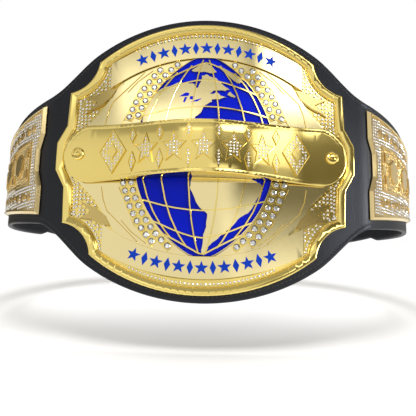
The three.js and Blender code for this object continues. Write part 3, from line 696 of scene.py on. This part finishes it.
def ring(centre, radius, width, count=20):
    """Outlines of a flat ring, as an outer and an inner circle."""
    turns = [2 * math.pi * k / count for k in range(count)]
    return [[(centre[0] + r * math.cos(t), centre[1] + r * math.sin(t)) for t in turns]
            for r in (radius, radius - width)]


def add_ring(bm, centre, radius, width, low, high):
    outer, inner = ring(centre, radius, width)
    rows = [(outer, low), (outer, high), (inner, high), (inner, low)]
    walls(bm, [[(s, z, height) for s, z in edge] for edge, height in rows])


for field in ("upper", "lower"):
    for hand, word in ((-1, "left"), (1, "right")):
        bm = bmesh.new()
        places = []
        for name, distance, start, count in STONE_ROWS:
            if name != field:
                continue
            radius = LIMB_RADIUS + distance
            first = math.radians(start)
            step = math.copysign(STONE_PITCH / radius, start)
            for k in range(count):
                t = first + step * k
                places.append((hand * (radius * math.cos(t) - LIMB_SHIFT), radius * math.sin(t) + DROP))
            over = math.copysign(STRIP_OVER / radius, start)
            turns = [first - over + (step * (count - 1) + 2 * over) * k / 20 for k in range(21)]
            line = [(radius * math.cos(t) - LIMB_SHIFT, radius * math.sin(t) + DROP) for t in turns]
            strip = band(line, STRIP_WIDTH)
            slab(bm, strip if hand > 0 else mirror_s(strip), PANEL_FACE + 0.1, PANEL_FACE + 0.45, 0.15, 1)
        for place in places:
            add_ring(bm, place, SETTING_RADIUS, 0.5, PANEL_FACE + 0.3, SETTING_FACE + 0.3)
        bent_piece(f"settings_{field}_{word}", bm, GOLD, "gold")
        seats = [(s, z, SETTING_FACE - 0.4) for s, z in places]
        stones = stone_mesh(f"stones_{field}_{word}_look", seats, 8, STONE_SECTION, CRYSTAL)
        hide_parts(f"stones_{field}_{word}")


# Banner

BANNER_REACH = 123.4
BANNER_END = 25.8
BANNER_MIDDLE = 23.3
BANNER_ARCH = 97
BANNER_RISE = 19.5
ARCH_ROOM = 5.8
BANNER_FOOT = PANEL_FACE + 0.3
BANNER_LOW = BANNER_FOOT + 3.4


def banner_raise(s):
    if abs(s) >= BANNER_ARCH:
        return 0.0
    return math.cos(math.pi * s / (2 * BANNER_ARCH)) ** 2


def banner_half(s):
    t = min(1, abs(s) / BANNER_ARCH)
    return BANNER_MIDDLE + (BANNER_END - BANNER_MIDDLE) * t * t


def banner_outline(shrink):
    corner = BANNER_END - 2
    straight = BANNER_REACH - corner
    edge = [-straight + 2 * straight * k / 60 for k in range(60)]
    top = [(s, banner_half(s) - shrink) for s in edge]
    turns = [math.pi / 2 - math.pi * k / 24 for k in range(25)]
    end = [(straight + (corner - shrink) * math.cos(t), (BANNER_END - shrink) * math.sin(t)) for t in turns]
    return top + end + mirror_z(top) + mirror_s(end)[1:-1]


def banner_lift(s, z, level):
    """Height of a point drawn at 0 for the foot, 1 for the face and above 1 for what stands on the face."""
    share = banner_raise(s)
    foot = BANNER_FOOT + ARCH_ROOM * math.sqrt(share)
    face = BANNER_LOW + BANNER_RISE * share
    if level <= 1:
        return foot + (face - foot) * level
    return face + (level - 1)


def banner_body():
    rows = [(2.6, 0.7), (2.6, 0.0), (0.3, 0.0), (0, 0.04), (0, 0.9), (0.25, 0.97), (0.7, 1.0), (3.2, 1.0),
            (3.6, 0.995), (4.0, 1.0)]
    bm = bmesh.new()
    made = walls(bm, [[(s, z, level) for s, z in banner_outline(shrink)] for shrink, level in rows])
    bm.faces.new(made[-1])
    bm.faces.new(list(reversed(made[0])))
    return bm


banner = bent_piece("banner_look", banner_body(), GOLD, "gold", 4, 12, banner_lift, 35)
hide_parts("banner")

STARS = [-48, -24, 0, 24, 48]
STAR_RADIUS = 13.5
STAR_PAVE = 2.7
LOZENGE = 78
LOZENGE_SIZE = (12.5, 20)
LOZENGE_BOSS = (4.6, 7.6)
SPEAR_HALF = 3.4
SPEAR_PLACES = [-60, -36, -12, 12, 36, 60]
SPEAR_ROWS = [(12.6, 7.2), (-10.4, 9.4)]


def star(s, radius, z=-0.8, inner=0.46, wide=0.82, tall=1.12):
    points = []
    for k in range(10):
        reach = radius * (inner if k % 2 else 1)
        angle = math.pi / 2 + k * math.pi / 5
        points.append((s + reach * wide * math.cos(angle), z + reach * tall * math.sin(angle)))
    return points


def lozenge(s, across, up, z=0.0):
    return [(s, z + up), (s - across, z), (s, z - up), (s + across, z)]


def frame_band(bm, outline, width, low, high):
    """A raised line that follows an outline, of the given width."""
    rows = [(0, low), (0.15, high), (width - 0.15, high), (width, low)]
    walls(bm, [[(s, z, height) for s, z in inset(outline, distance)] for distance, height in rows])


bm = bmesh.new()
motifs = [star(s, STAR_RADIUS) for s in STARS]
motifs += [lozenge(side * LOZENGE, *LOZENGE_SIZE) for side in (-1, 1)]
for outline in motifs:
    frame_band(bm, outline, 0.8, 1.0, 2.5)
    slab(bm, inset(outline, 0.5), 1.0, 1.6)
for side in (-1, 1):
    slab(bm, lozenge(side * LOZENGE, *LOZENGE_BOSS), 1.5, 2.8, 0.6)
SPEARS = [lozenge(s, SPEAR_HALF, up, z) for s in SPEAR_PLACES for z, up in SPEAR_ROWS]
for outline in SPEARS:
    frame_band(bm, outline, 0.6, 1.0, 2.3)
    slab(bm, inset(outline, 0.4), 1.0, 1.6)
bent_piece("banner_relief", bm, GOLD, "gold", 4, None, banner_lift, 35)


# Small stones set close together

SMALL = [(1.0, 0.0), (1.0, 0.3), (0.72, 0.62), (0.4, 0.78)]


def grid(pitch, low, high, turn=0.0):
    count_s = int((high[0] - low[0]) / pitch) + 1
    count_z = int((high[1] - low[1]) / pitch) + 1
    middle = ((low[0] + high[0]) / 2, (low[1] + high[1]) / 2)
    points = []
    for i in range(-count_s, count_s + 1):
        for k in range(-count_z, count_z + 1):
            s, z = i * pitch, k * pitch
            a = (s * math.cos(turn) - z * math.sin(turn), s * math.sin(turn) + z * math.cos(turn))
            points.append((middle[0] + a[0], middle[1] + a[1]))
    return np.array(points)


def clear_of(points, outlines, spare):
    """The points that lie outside all outlines, with room to spare."""
    keep = np.ones(len(points), bool)
    for outline in outlines:
        keep &= ~inside(points, outline) & (clearance(points, outline) > spare)
    return points[keep]


def field_points(pitch, within, margin, without=(), spare=1.5):
    """Places of a square grid that lie well within one outline and clear of others."""
    xs, zs = zip(*within)
    points = grid(pitch, (min(xs), min(zs)), (max(xs), max(zs)))
    keep = inside(points, within) & (clearance(points, within) > margin)
    return clear_of(points[keep], without, spare)


def spaced(outline, pitch):
    """Places at one pitch along a closed outline."""
    closed = np.array(outline + outline[:1], float)
    run = np.concatenate([[0], np.cumsum(np.hypot(*np.diff(closed, axis=0).T))])
    count = round(run[-1] / pitch)
    marks = np.arange(count) * run[-1] / count
    return np.stack([np.interp(marks, run, closed[:, 0]), np.interp(marks, run, closed[:, 1])], 1)


PAVE = 3.45
PAVE_ROOM = 1.15
ribbons = [both_ways(ribbon_outline, side) for side in (1, -1)]
artwork = [*ribbons, *TAILS, PANEL, banner_outline(0)]
pave_edge = inset(PLATE, RIM_WIDTH + 1.9)
border = clear_of(spaced(pave_edge, PAVE), artwork, PAVE_ROOM)
filled = field_points(PAVE, pave_edge, 2.3)
pave = np.concatenate([border, clear_of(filled, artwork, PAVE_ROOM)])
stone_mesh("plate_small_stones", [(s, z, PLATE_FACE + 0.3) for s, z in pave], 7,
           [(r * 1.17, h * 1.25) for r, h in SMALL], SMALL_CRYSTAL)
between = clear_of(filled + PAVE / 2, artwork, 0.6)
stone_mesh("plate_beads", [(s, z, PLATE_FACE - 0.1) for s, z in between], 4,
           [(0.7, 0.0), (0.5, 0.7), (0.25, 0.95)], FIELD_GOLD, slot="gold")

placed = []
for outline in motifs[:5]:
    placed.extend(field_points(STAR_PAVE, outline, 1.35))
for side, outline in zip((-1, 1), motifs[5:]):
    boss = lozenge(side * LOZENGE, *LOZENGE_BOSS)
    placed.extend(field_points(STAR_PAVE, outline, 1.7, [boss], 1.0))
for outline in SPEARS:
    placed.extend(field_points(STAR_PAVE, outline, 1.1))
stone_mesh("banner_small_stones", [(s, z, 1.55) for s, z in placed], 7,
           [(r * 1.02, h * 1.15) for r, h in SMALL], SMALL_CRYSTAL, banner_lift)


# Enamel marks on the ribbons, in place of words

MARK_PITCH = 9.4
MARK_LEAN = 0.055


def ribbon_height(s, up):
    """Height on a ribbon at s, from 0 on its inner edge to 1 on its outer edge."""
    low, high = bow_height(s, RIBBON_END, *RIBBON_INNER), bow_height(s, RIBBON_END, *RIBBON_OUTER)
    return low * (1 - up) + high * up


bm = bmesh.new()
for side in (1, -1):
    for k in range(-6, 7):
        s = k * MARK_PITCH
        z = side * ribbon_height(s, 0.5) + DROP
        lean = -side * k * MARK_LEAN
        shape = star(0, 6.1, 0, 0.42, 1, 1) if k % 2 == 0 else lozenge(0, 2.7, 6.0)
        turned = [(s + x * math.cos(lean) - y * math.sin(lean), z + x * math.sin(lean) + y * math.cos(lean))
                  for x, y in shape]
        slab(bm, turned, RIBBON_FACE - 0.1, RIBBON_FACE + 0.22, 0.1, 1)
bent_piece("ribbon_marks", bm, PAINT_BLUE, "enamel")


# Engraved rays and edges on the panel, as fine raised lines

RAY_WIDTH = 0.7
RAY_SHIFT = 1.0
RAYS = [
    ((54, 76), (70, 60), (82, 48.5)),
    ((46.5, 77.5), (60, 67), (69, 57)),
    ((81.5, 49.5), (86, 38), (88, 27)),
    ((41, 80), (58, 60.5), (72.5, 27.5)),
]
bm = bmesh.new()
for side in (1, -1):
    for line in RAYS:
        for hand in (1, -1):
            points = [(hand * s, side * (z + RAY_SHIFT) + DROP) for s, z in line]
            fine = []
            for a, b in zip(points, points[1:]):
                fine.extend((a[0] + (b[0] - a[0]) * k / 4, a[1] + (b[1] - a[1]) * k / 4) for k in range(4))
            fine.append(points[-1])
            slab(bm, band(fine, RAY_WIDTH), PANEL_FACE - 0.1, PANEL_FACE + 0.4, 0.2, 1)
bent_piece("panel_rays", bm, FIELD_GOLD, "gold")


# Side plates

SIDE_START = 148
SIDE_LENGTH = 116
SIDE_NEAR = 51
SIDE_FAR = 32
SIDE_NOTCH = 5
SIDE_FACE = 2.7
RELIEF_NEAR = 18
RELIEF_FAR = 13
RELIEF_NEAR_HALF = 21
RELIEF_FAR_HALF = 15.5
RING_FIRST = 16
RING_PITCH = 10.5
RING_COUNT = 9
RING_UP = 0.68
RING_RADIUS = 3.0
SIDE_PAVE = 2.9
GRAIN_PITCH = 2.0


def side_half(along):
    return SIDE_NEAR + (SIDE_FAR - SIDE_NEAR) * along / SIDE_LENGTH


def ring_places(hand):
    """Centres of the small rings in the upper and the lower band of a side plate."""
    alongs = [RING_FIRST + k * RING_PITCH for k in range(RING_COUNT)]
    return [(hand * (SIDE_START + a), up * side_half(a) * RING_UP) for a in alongs for up in (1, -1)]


def side_outline():
    corners = [
        (SIDE_NOTCH, SIDE_NEAR * 0.2), (0, SIDE_NEAR * 0.48), (0, SIDE_NEAR), (SIDE_LENGTH, SIDE_FAR),
        (SIDE_LENGTH, SIDE_FAR * 0.5), (SIDE_LENGTH - SIDE_NOTCH, SIDE_FAR * 0.22),
    ]
    upper = [(SIDE_START + a, z) for a, z in corners]
    return upper + mirror_z(upper)


RELIEF = [
    (0.32, 0, 0.15, 0.26, 6), (0.56, 0, 0.17, 0.3, 6), (0.78, 0, 0.12, 0.24, 6),
    (0.2, 0.22, 0.06, 0.13, 4), (0.2, -0.22, 0.06, 0.13, 4), (0.44, 0.27, 0.07, 0.12, 4),
    (0.44, -0.27, 0.07, 0.12, 4), (0.68, 0.27, 0.07, 0.12, 4), (0.68, -0.27, 0.07, 0.12, 4),
]
side_rows = [(0.4, 0.3), (0, 0.7), (0, 1.4), (1.7, 4.1), (1.9, 4.3), (2.6, 4.3), (3.0, 4.0), (3.3, 2.7)]

for hand, word in ((-1, "left"), (1, "right")):
    outline = side_outline() if hand > 0 else mirror_s(side_outline())
    plate = moulding(f"side_plate_{word}_look", outline, side_rows, ROSY_GOLD, "rosy_gold", 4, 14)
    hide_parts(f"side_plate_{word}")
    bm = bmesh.new()
    for along, up, wide, high, sides in RELIEF:
        s = SIDE_START + along * SIDE_LENGTH
        half = side_half(along * SIDE_LENGTH)
        turns = [(k + 0.5) * 2 * math.pi / sides for k in range(sides)]
        block = [(hand * (s + wide * SIDE_LENGTH * 0.5 * math.cos(t)), up * half + high * half * math.sin(t))
                 for t in turns]
        slab(bm, block, SIDE_FACE - 0.2, SIDE_FACE + 2.1, 0.5)
        slab(bm, inset(block, 2.2 if sides == 6 else 1.2), SIDE_FACE + 2, SIDE_FACE + 2.2, 0.15)
    near, far = SIDE_START + RELIEF_NEAR, SIDE_START + SIDE_LENGTH - RELIEF_FAR
    inner = [(near, RELIEF_NEAR_HALF), (far, RELIEF_FAR_HALF)]
    inner += mirror_z(inner)
    inner = inner if hand > 0 else mirror_s(inner)
    frame_band(bm, inner, 1.1, SIDE_FACE - 0.1, SIDE_FACE + 0.9)
    for s, z in ring_places(hand):
        add_ring(bm, (s, z), RING_RADIUS, 0.9, SIDE_FACE - 0.1, SIDE_FACE + 1.1)
        slab(bm, lozenge(s, 1.4, 1.8, z), SIDE_FACE - 0.1, SIDE_FACE + 1.0, 0.2, 1)
    bent_piece(f"side_relief_{word}", bm, ROSY_GOLD, "rosy_gold", 4)
    rings = [ring(place, RING_RADIUS + 0.2, 1)[0] for place in ring_places(hand)]
    points = field_points(SIDE_PAVE, outline, 4.6, [inner, *rings], 1.3)
    stone_mesh(f"side_small_stones_{word}", [(s, z, SIDE_FACE + 0.2) for s, z in points], 6,
               [(r * 1.1, h) for r, h in SMALL], SMALL_CRYSTAL)
    grains = field_points(GRAIN_PITCH, inner, 1.8)
    grains = grains + np.array([[rng.uniform(-0.7, 0.7), rng.uniform(-0.7, 0.7)] for _ in grains])
    stone_mesh(f"side_grain_{word}", [(s, z, SIDE_FACE - 0.3) for s, z in grains], 5,
               [(1.1, 0.0), (0.8, 0.6), (0.4, 0.9)], ROSY_GOLD, slot="rosy_gold")


# Strap

CROWN_HEIGHT = 128.5
CROWN_RADIUS = 176
CROWN_REACH = 100
TAPER = [(150, 58.5), (205, 50.5), (290, 41), (350, 34), (362, 29), (800, 29)]
END_CORNER = 14


def strap_half(s):
    at = abs(s)
    if at <= CROWN_REACH:
        return CROWN_HEIGHT - CROWN_RADIUS + math.sqrt(CROWN_RADIUS ** 2 - at * at)
    if at >= TAPER[0][0]:
        half = float(np.interp(at, *zip(*TAPER)))
        past = max(0.0, at - (STRAP_REACH - END_CORNER))
        return half - END_CORNER + math.sqrt(max(0.0, END_CORNER ** 2 - past ** 2))
    (a, half_a), (b, half_b) = TAPER[:2]
    span = a - CROWN_REACH
    t = (at - CROWN_REACH) / span
    start = strap_half(CROWN_REACH)
    slope = -CROWN_REACH / math.sqrt(CROWN_RADIUS ** 2 - CROWN_REACH ** 2)
    taper = (half_b - half_a) / (b - a)
    return ((2 * t ** 3 - 3 * t ** 2 + 1) * start + (t ** 3 - 2 * t ** 2 + t) * span * slope
            + (3 * t ** 2 - 2 * t ** 3) * half_a + (t ** 3 - t ** 2) * span * taper)


def strap_lift(s):
    t = (s - (HALF - OVERLAP / 2 - OVERLAP_RAMP)) / (OVERLAP_RAMP - 6)
    t = max(0.0, min(1.0, t))
    return (LEATHER + GAP) * t * t * (3 - 2 * t)


STRAP_SECTION = [
    (6.0, 0.0), (5.0, -0.22), (4.0, 0.0), (1.4, 0.0), (0.5, -0.25), (0.05, -0.9), (0.1, -1.75),
    (0.5, -1.95), (0.1, -2.15), (0.05, -3.0), (0.5, -3.7), (1.4, -4.0), (4.0, -4.0),
]


def strap_mesh():
    inner = np.arange(-STRAP_REACH + END_CORNER, STRAP_REACH - END_CORNER, 2.5)
    ends = [STRAP_REACH - END_CORNER * f for f in (0.75, 0.5, 0.3, 0.15, 0.05, 0)]
    lengths = sorted([*inner, *ends, *[-s for s in ends]])
    flat = []
    for s in lengths:
        half, lift = strap_half(s), strap_lift(s)
        upper = [(half - edge, r) for edge, r in STRAP_SECTION]
        flat.extend([s, z, r + lift] for z, r in [*upper, *[(-z, r) for z, r in reversed(upper)]])
    return flat, tube_faces(len(lengths), 2 * len(STRAP_SECTION))


strap = finish_piece("strap_look", *strap_mesh(), BLACK_LEATHER, "leather", 50)
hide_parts("strap")


STITCH_EDGE = 5.0
STITCH_PITCH = 4.0


def stitch_line():
    """Stitches along both edges of the outer face, evenly spaced along the edge."""
    lengths = np.arange(-STRAP_REACH + 8, STRAP_REACH - 8, 0.5)
    edge = np.array([strap_half(s) - STITCH_EDGE for s in lengths])
    run = np.concatenate([[0], np.cumsum(np.hypot(np.diff(lengths), np.diff(edge)))])
    marks = np.arange(2, run[-1] - 2, STITCH_PITCH)
    stitch = np.array([[-1.3, -0.3, 0.0], [-1.0, -0.35, 0.3], [1.0, -0.35, 0.3], [1.3, -0.3, 0.0],
                       [1.3, 0.3, 0.0], [1.0, 0.35, 0.3], [-1.0, 0.35, 0.3], [-1.3, 0.3, 0.0]])
    flat, faces = [], []
    for mark in marks:
        s = np.interp(mark, run, lengths)
        z = np.interp(mark, run, edge)
        slope = np.interp(mark + 1, run, edge) - np.interp(mark - 1, run, edge)
        ahead = np.interp(mark + 1, run, lengths) - np.interp(mark - 1, run, lengths)
        turn = math.atan2(slope, ahead)
        for side in (1, -1):
            start = len(flat)
            for along, across, out in stitch:
                a = along * math.cos(turn) - across * math.sin(turn)
                b = along * math.sin(turn) + across * math.cos(turn)
                flat.append([s + a, side * (z + b), -0.2 + out + strap_lift(s)])
            faces.extend([[start + i for i in quad] for quad in ((0, 1, 6, 7), (1, 2, 5, 6), (2, 3, 4, 5),
                                                                 (0, 3, 2, 1), (4, 7, 6, 5))])
    return flat, faces


finish_piece("stitching", *stitch_line(), THREAD, "leather", 40)


# Round fixings, turned on the places of their plain solids

PATH = np.arange(-STRAP_REACH, STRAP_REACH, 0.25)
PATH_PLACES = wrap([(s, 0, 0) for s in PATH])


def place_of(node):
    """Where a node sits on the strap, as its length along it and its height, in millimetres."""
    low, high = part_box(node)
    middle = [(low[k] + high[k]) / 2 / MM for k in range(3)]
    nearest = np.argmin(np.hypot(PATH_PLACES[:, 0] - middle[0], PATH_PLACES[:, 1] - middle[1]))
    return PATH[nearest], middle[2]


def turned(node, profile, material, slot, sides=28):
    s, z = place_of(node)
    turns = [2 * math.pi * k / sides for k in range(sides)]
    flat = [(s + radius * math.cos(t), z + radius * math.sin(t), height)
            for radius, height in profile for t in turns]
    piece = finish_piece(node + "_look", flat, tube_faces(len(profile), sides), material, slot, 35)
    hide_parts(node)


INSIDE = -LEATHER - GAP
HEAD = 1.2
POST_PROFILE = [
    (3.6, INSIDE - HEAD), (4.7, INSIDE - HEAD + 0.25), (5, INSIDE - HEAD + 0.6), (5, INSIDE - 0.2),
    (4.8, INSIDE), (2, INSIDE), (2, 0),
]
SCREW_FOOT = BANNER_LOW + GAP
SCREW_PROFILE = [
    *POST_PROFILE[:-1], (2, SCREW_FOOT), (5.4, SCREW_FOOT), (5.6, SCREW_FOOT + 0.3), (5.5, SCREW_FOOT + 1.1),
    (5.0, SCREW_FOOT + 1.7), (4.3, SCREW_FOOT + 2.0), (3.6, SCREW_FOOT + 1.8), (3.3, SCREW_FOOT + 1.0),
    (2.2, SCREW_FOOT + 0.8), (1.9, SCREW_FOOT + 1.4), (1.0, SCREW_FOOT + 1.5),
]
STUD_TOP = LEATHER + 2 * GAP
STUD_PROFILE = [
    (5.3, INSIDE - 1.6), (5.8, INSIDE - 1.3), (6, INSIDE - 0.2), (5.8, INSIDE), (2, INSIDE), (2, STUD_TOP),
    (6.8, STUD_TOP), (7, STUD_TOP + 0.4), (6.8, STUD_TOP + 0.9), (6.0, STUD_TOP + 1.5),
    (4.6, STUD_TOP + 2.0), (2.6, STUD_TOP + 2.35), (0.8, STUD_TOP + 2.4),
]
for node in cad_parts:
    if node.startswith("banner_screw"):
        turned(node, SCREW_PROFILE, GOLD, "gold")
    elif node.startswith(("plate_post", "side_post")):
        turned(node, POST_PROFILE, NICKEL, "nickel")
    elif node.startswith("press_stud"):
        turned(node, STUD_PROFILE, NICKEL, "nickel")


# Studio lights as (name, turns to the right, heights, softness, strength), with angles in degrees

STUDIO = [
    ("all round", (-200, 200), (-100, 100), 1, 0.16),
    ("left front", (-75, 10), (-3, 19.5), 4, 0.7),
    ("upper left", (-75, -29), (19.5, 60), 4, 0.25),
    ("upper front", (-29, 10), (19.5, 26), 4, 0.65),
    ("front window", (-26, -4), (20.5, 24), 3, 0.9),
    ("high front", (-29, 10), (26, 60), 7, 0.28),
    ("lower right", (10, 30), (-3, 10.5), 7, 1.1),
    ("right window", (14, 40), (21, 29), 3, 3.6),
    ("right strip", (44, 56), (17.5, 24), 4, 2.6),
    ("below the strip", (44, 56), (5, 17.5), 5, 0.4),
    ("right lamp", (62, 74), (-6, 16), 4, 26.0),
    ("above the window", (-18, 10), (24, 31), 4, 0.25),
    ("below", (-200, 200), (-95, -6), 4, 0.55),
    ("back right", (95, 150), (-20, 40), 10, 0.5),
    ("left side", (-110, -75), (10, 45), 8, 0.5),
    ("overhead", (-200, 200), (60, 100), 8, 0.35),
]


# Stage, in metres: a pale floor, sloped because the belt leans back as it is shown, in a white surround

FLOOR_TILT = math.radians(17.2)
FLOOR_DROP = -0.12
FLOOR_SIZE = 4
FADE_START = 0.35
FADE_END = 0.8


def floor_look():
    look = Look("pale floor")
    place = look.object_place()
    distance = look.add("ShaderNodeVectorMath", operation="LENGTH")
    look.link(place, distance, 0)
    fade = look.span(distance.outputs["Value"], 0.0, 1.0, FADE_START, FADE_END)
    behind = look.add("ShaderNodeNewGeometry").outputs["Backfacing"]
    hidden = look.add("ShaderNodeMath", operation="MAXIMUM")
    look.link(fade, hidden, 0)
    look.link(behind, hidden, 1)
    clear = look.add("ShaderNodeBsdfTransparent")
    mix = look.add("ShaderNodeMixShader")
    look.link(hidden.outputs[0], mix, 0)
    look.link(look.surface.outputs[0], mix, 1)
    look.link(clear.outputs[0], mix, 2)
    look.link(mix.outputs[0], look.nodes["Material Output"], "Surface")
    look.link(look.blend(look.noise(2.0), (0.6, 0.6, 0.6), (0.62, 0.62, 0.62)), look.surface, "Base Color")
    look.set(Roughness=0.9)
    return look.material


bpy.ops.mesh.primitive_plane_add(size=FLOOR_SIZE, location=(0, 0, FLOOR_DROP), rotation=(FLOOR_TILT, 0, 0))
floor = bpy.context.object
floor.name = "floor"
floor.data.materials.append(floor_look())


WARMTH = [("Red", 0.0), ("Green", 0.014), ("Blue", 0.06)]


class Sky:
    """The studio as a function of direction: soft patches set by turn and height, in degrees."""

    def __init__(self):
        world = bpy.data.worlds.new("studio")
        bpy.context.scene.world = world
        world.use_nodes = True
        self.nodes, self.links = world.node_tree.nodes, world.node_tree.links
        place = self.nodes.new("ShaderNodeTexCoord")
        split = self.nodes.new("ShaderNodeSeparateXYZ")
        self.links.new(place.outputs["Generated"], split.inputs[0])
        front = self.math("MULTIPLY", split.outputs["Y"], -1)
        self.turn = self.math("MULTIPLY", self.math("ARCTAN2", split.outputs["X"], front), 180 / math.pi)
        self.height = self.math("MULTIPLY", self.math("ARCSINE", split.outputs["Z"]), 180 / math.pi)

    def math(self, operation, first, second=None):
        node = self.nodes.new("ShaderNodeMath")
        node.operation = operation
        for k, value in enumerate((first, second)):
            if isinstance(value, (int, float)):
                node.inputs[k].default_value = value
            elif value is not None:
                self.links.new(value, node.inputs[k])
        return node.outputs[0]

    def step(self, value, start, end):
        node = self.nodes.new("ShaderNodeMapRange")
        node.interpolation_type = "SMOOTHSTEP"
        node.inputs["From Min"].default_value = start
        node.inputs["From Max"].default_value = end
        self.links.new(value, node.inputs["Value"])
        return node.outputs["Result"]

    def patch(self, turns, heights, soft, strength):
        """A soft-edged patch of light between two turns and two heights."""
        share = self.math("MULTIPLY", self.step(self.turn, turns[0] - soft, turns[0] + soft),
                          self.step(self.turn, turns[1] + soft, turns[1] - soft))
        low, high = heights
        share = self.math("MULTIPLY", share, self.step(self.height, low - soft / 2, low + soft / 2))
        share = self.math("MULTIPLY", share, self.step(self.height, high + soft / 2, high - soft / 2))
        return self.math("MULTIPLY", share, strength)

    def finish(self, total):
        """Warms the light a little, which the all-round patch leaves room for, and shows white to the camera."""
        tint = self.nodes.new("ShaderNodeCombineColor")
        for name, less in WARMTH:
            self.links.new(self.math("SUBTRACT", total, less), tint.inputs[name])
        seen = self.nodes.new("ShaderNodeLightPath")
        mix = self.nodes.new("ShaderNodeMix")
        mix.data_type = "RGBA"
        mix.inputs[7].default_value = (1, 1, 1, 1)
        self.links.new(seen.outputs["Is Camera Ray"], mix.inputs[0])
        self.links.new(tint.outputs[0], mix.inputs[6])
        self.links.new(mix.outputs[2], self.nodes["Background"].inputs["Color"])


def surround():
    """A white surround for the camera, and soft studio lights for the reflections."""
    sky = Sky()
    total = None
    for _, turns, heights, soft, strength in STUDIO:
        light = sky.patch(turns, heights, soft, strength)
        total = light if total is None else sky.math("ADD", total, light)
    sky.finish(total)


surround()


def softbox(name, place, target, width, height, power):
    """A lamp that lights the leather and the floor but isn't mirrored in the metal."""
    light = bpy.data.lights.new(name, "AREA")
    light.shape = "RECTANGLE"
    light.size, light.size_y = width, height
    light.energy = power
    lamp = bpy.data.objects.new(name, light)
    lamp.location = place
    lamp.visible_glossy = False
    lamp.rotation_euler = (Vector(target) - Vector(place)).to_track_quat("-Z", "Y").to_euler()
    bpy.context.scene.collection.objects.link(lamp)


softbox("overhead", place=(0.0, -0.44, 1.43), target=(0, 0, 0), width=0.7, height=1.4, power=46)


# Camera of the photo: low in front of the plate, looking up

VIEW_DISTANCE = 0.6
VIEW_BELOW = math.radians(-17.658)
VIEW_RIGHT = math.radians(1.824)
VIEW_PAN = math.radians(0.413)
VIEW_TILT = math.radians(-4.408)
VIEW_ROLL = math.radians(1.44)
LENS = 59.585

start = Vector((
    VIEW_DISTANCE * math.sin(VIEW_RIGHT) * math.cos(VIEW_BELOW),
    -VIEW_DISTANCE * math.cos(VIEW_RIGHT) * math.cos(VIEW_BELOW),
    VIEW_DISTANCE * math.sin(VIEW_BELOW),
))
forward = -start.normalized()
right = forward.cross(Vector((0, 0, 1))).normalized()
above = right.cross(forward)
panned = math.cos(VIEW_PAN) * forward + math.sin(VIEW_PAN) * right
right = math.cos(VIEW_PAN) * right - math.sin(VIEW_PAN) * forward
ahead = math.cos(VIEW_TILT) * panned + math.sin(VIEW_TILT) * above
above = math.cos(VIEW_TILT) * above - math.sin(VIEW_TILT) * panned
x_axis = math.cos(VIEW_ROLL) * right + math.sin(VIEW_ROLL) * above
y_axis = math.cos(VIEW_ROLL) * above - math.sin(VIEW_ROLL) * right
camera = bpy.data.objects.new("camera", bpy.data.cameras.new("camera"))
camera.data.lens = LENS
camera.data.sensor_width = 36
camera.data.clip_start = 0.01
turn = Matrix((x_axis, y_axis, -ahead)).transposed()
camera.matrix_world = Matrix.Translation(start + Vector((0, -DEPTH / 2 * MM, 0))) @ turn.to_4x4()
bpy.context.scene.collection.objects.link(camera)
bpy.context.scene.camera = camera
bpy.context.scene.view_settings.view_transform = "Standard"
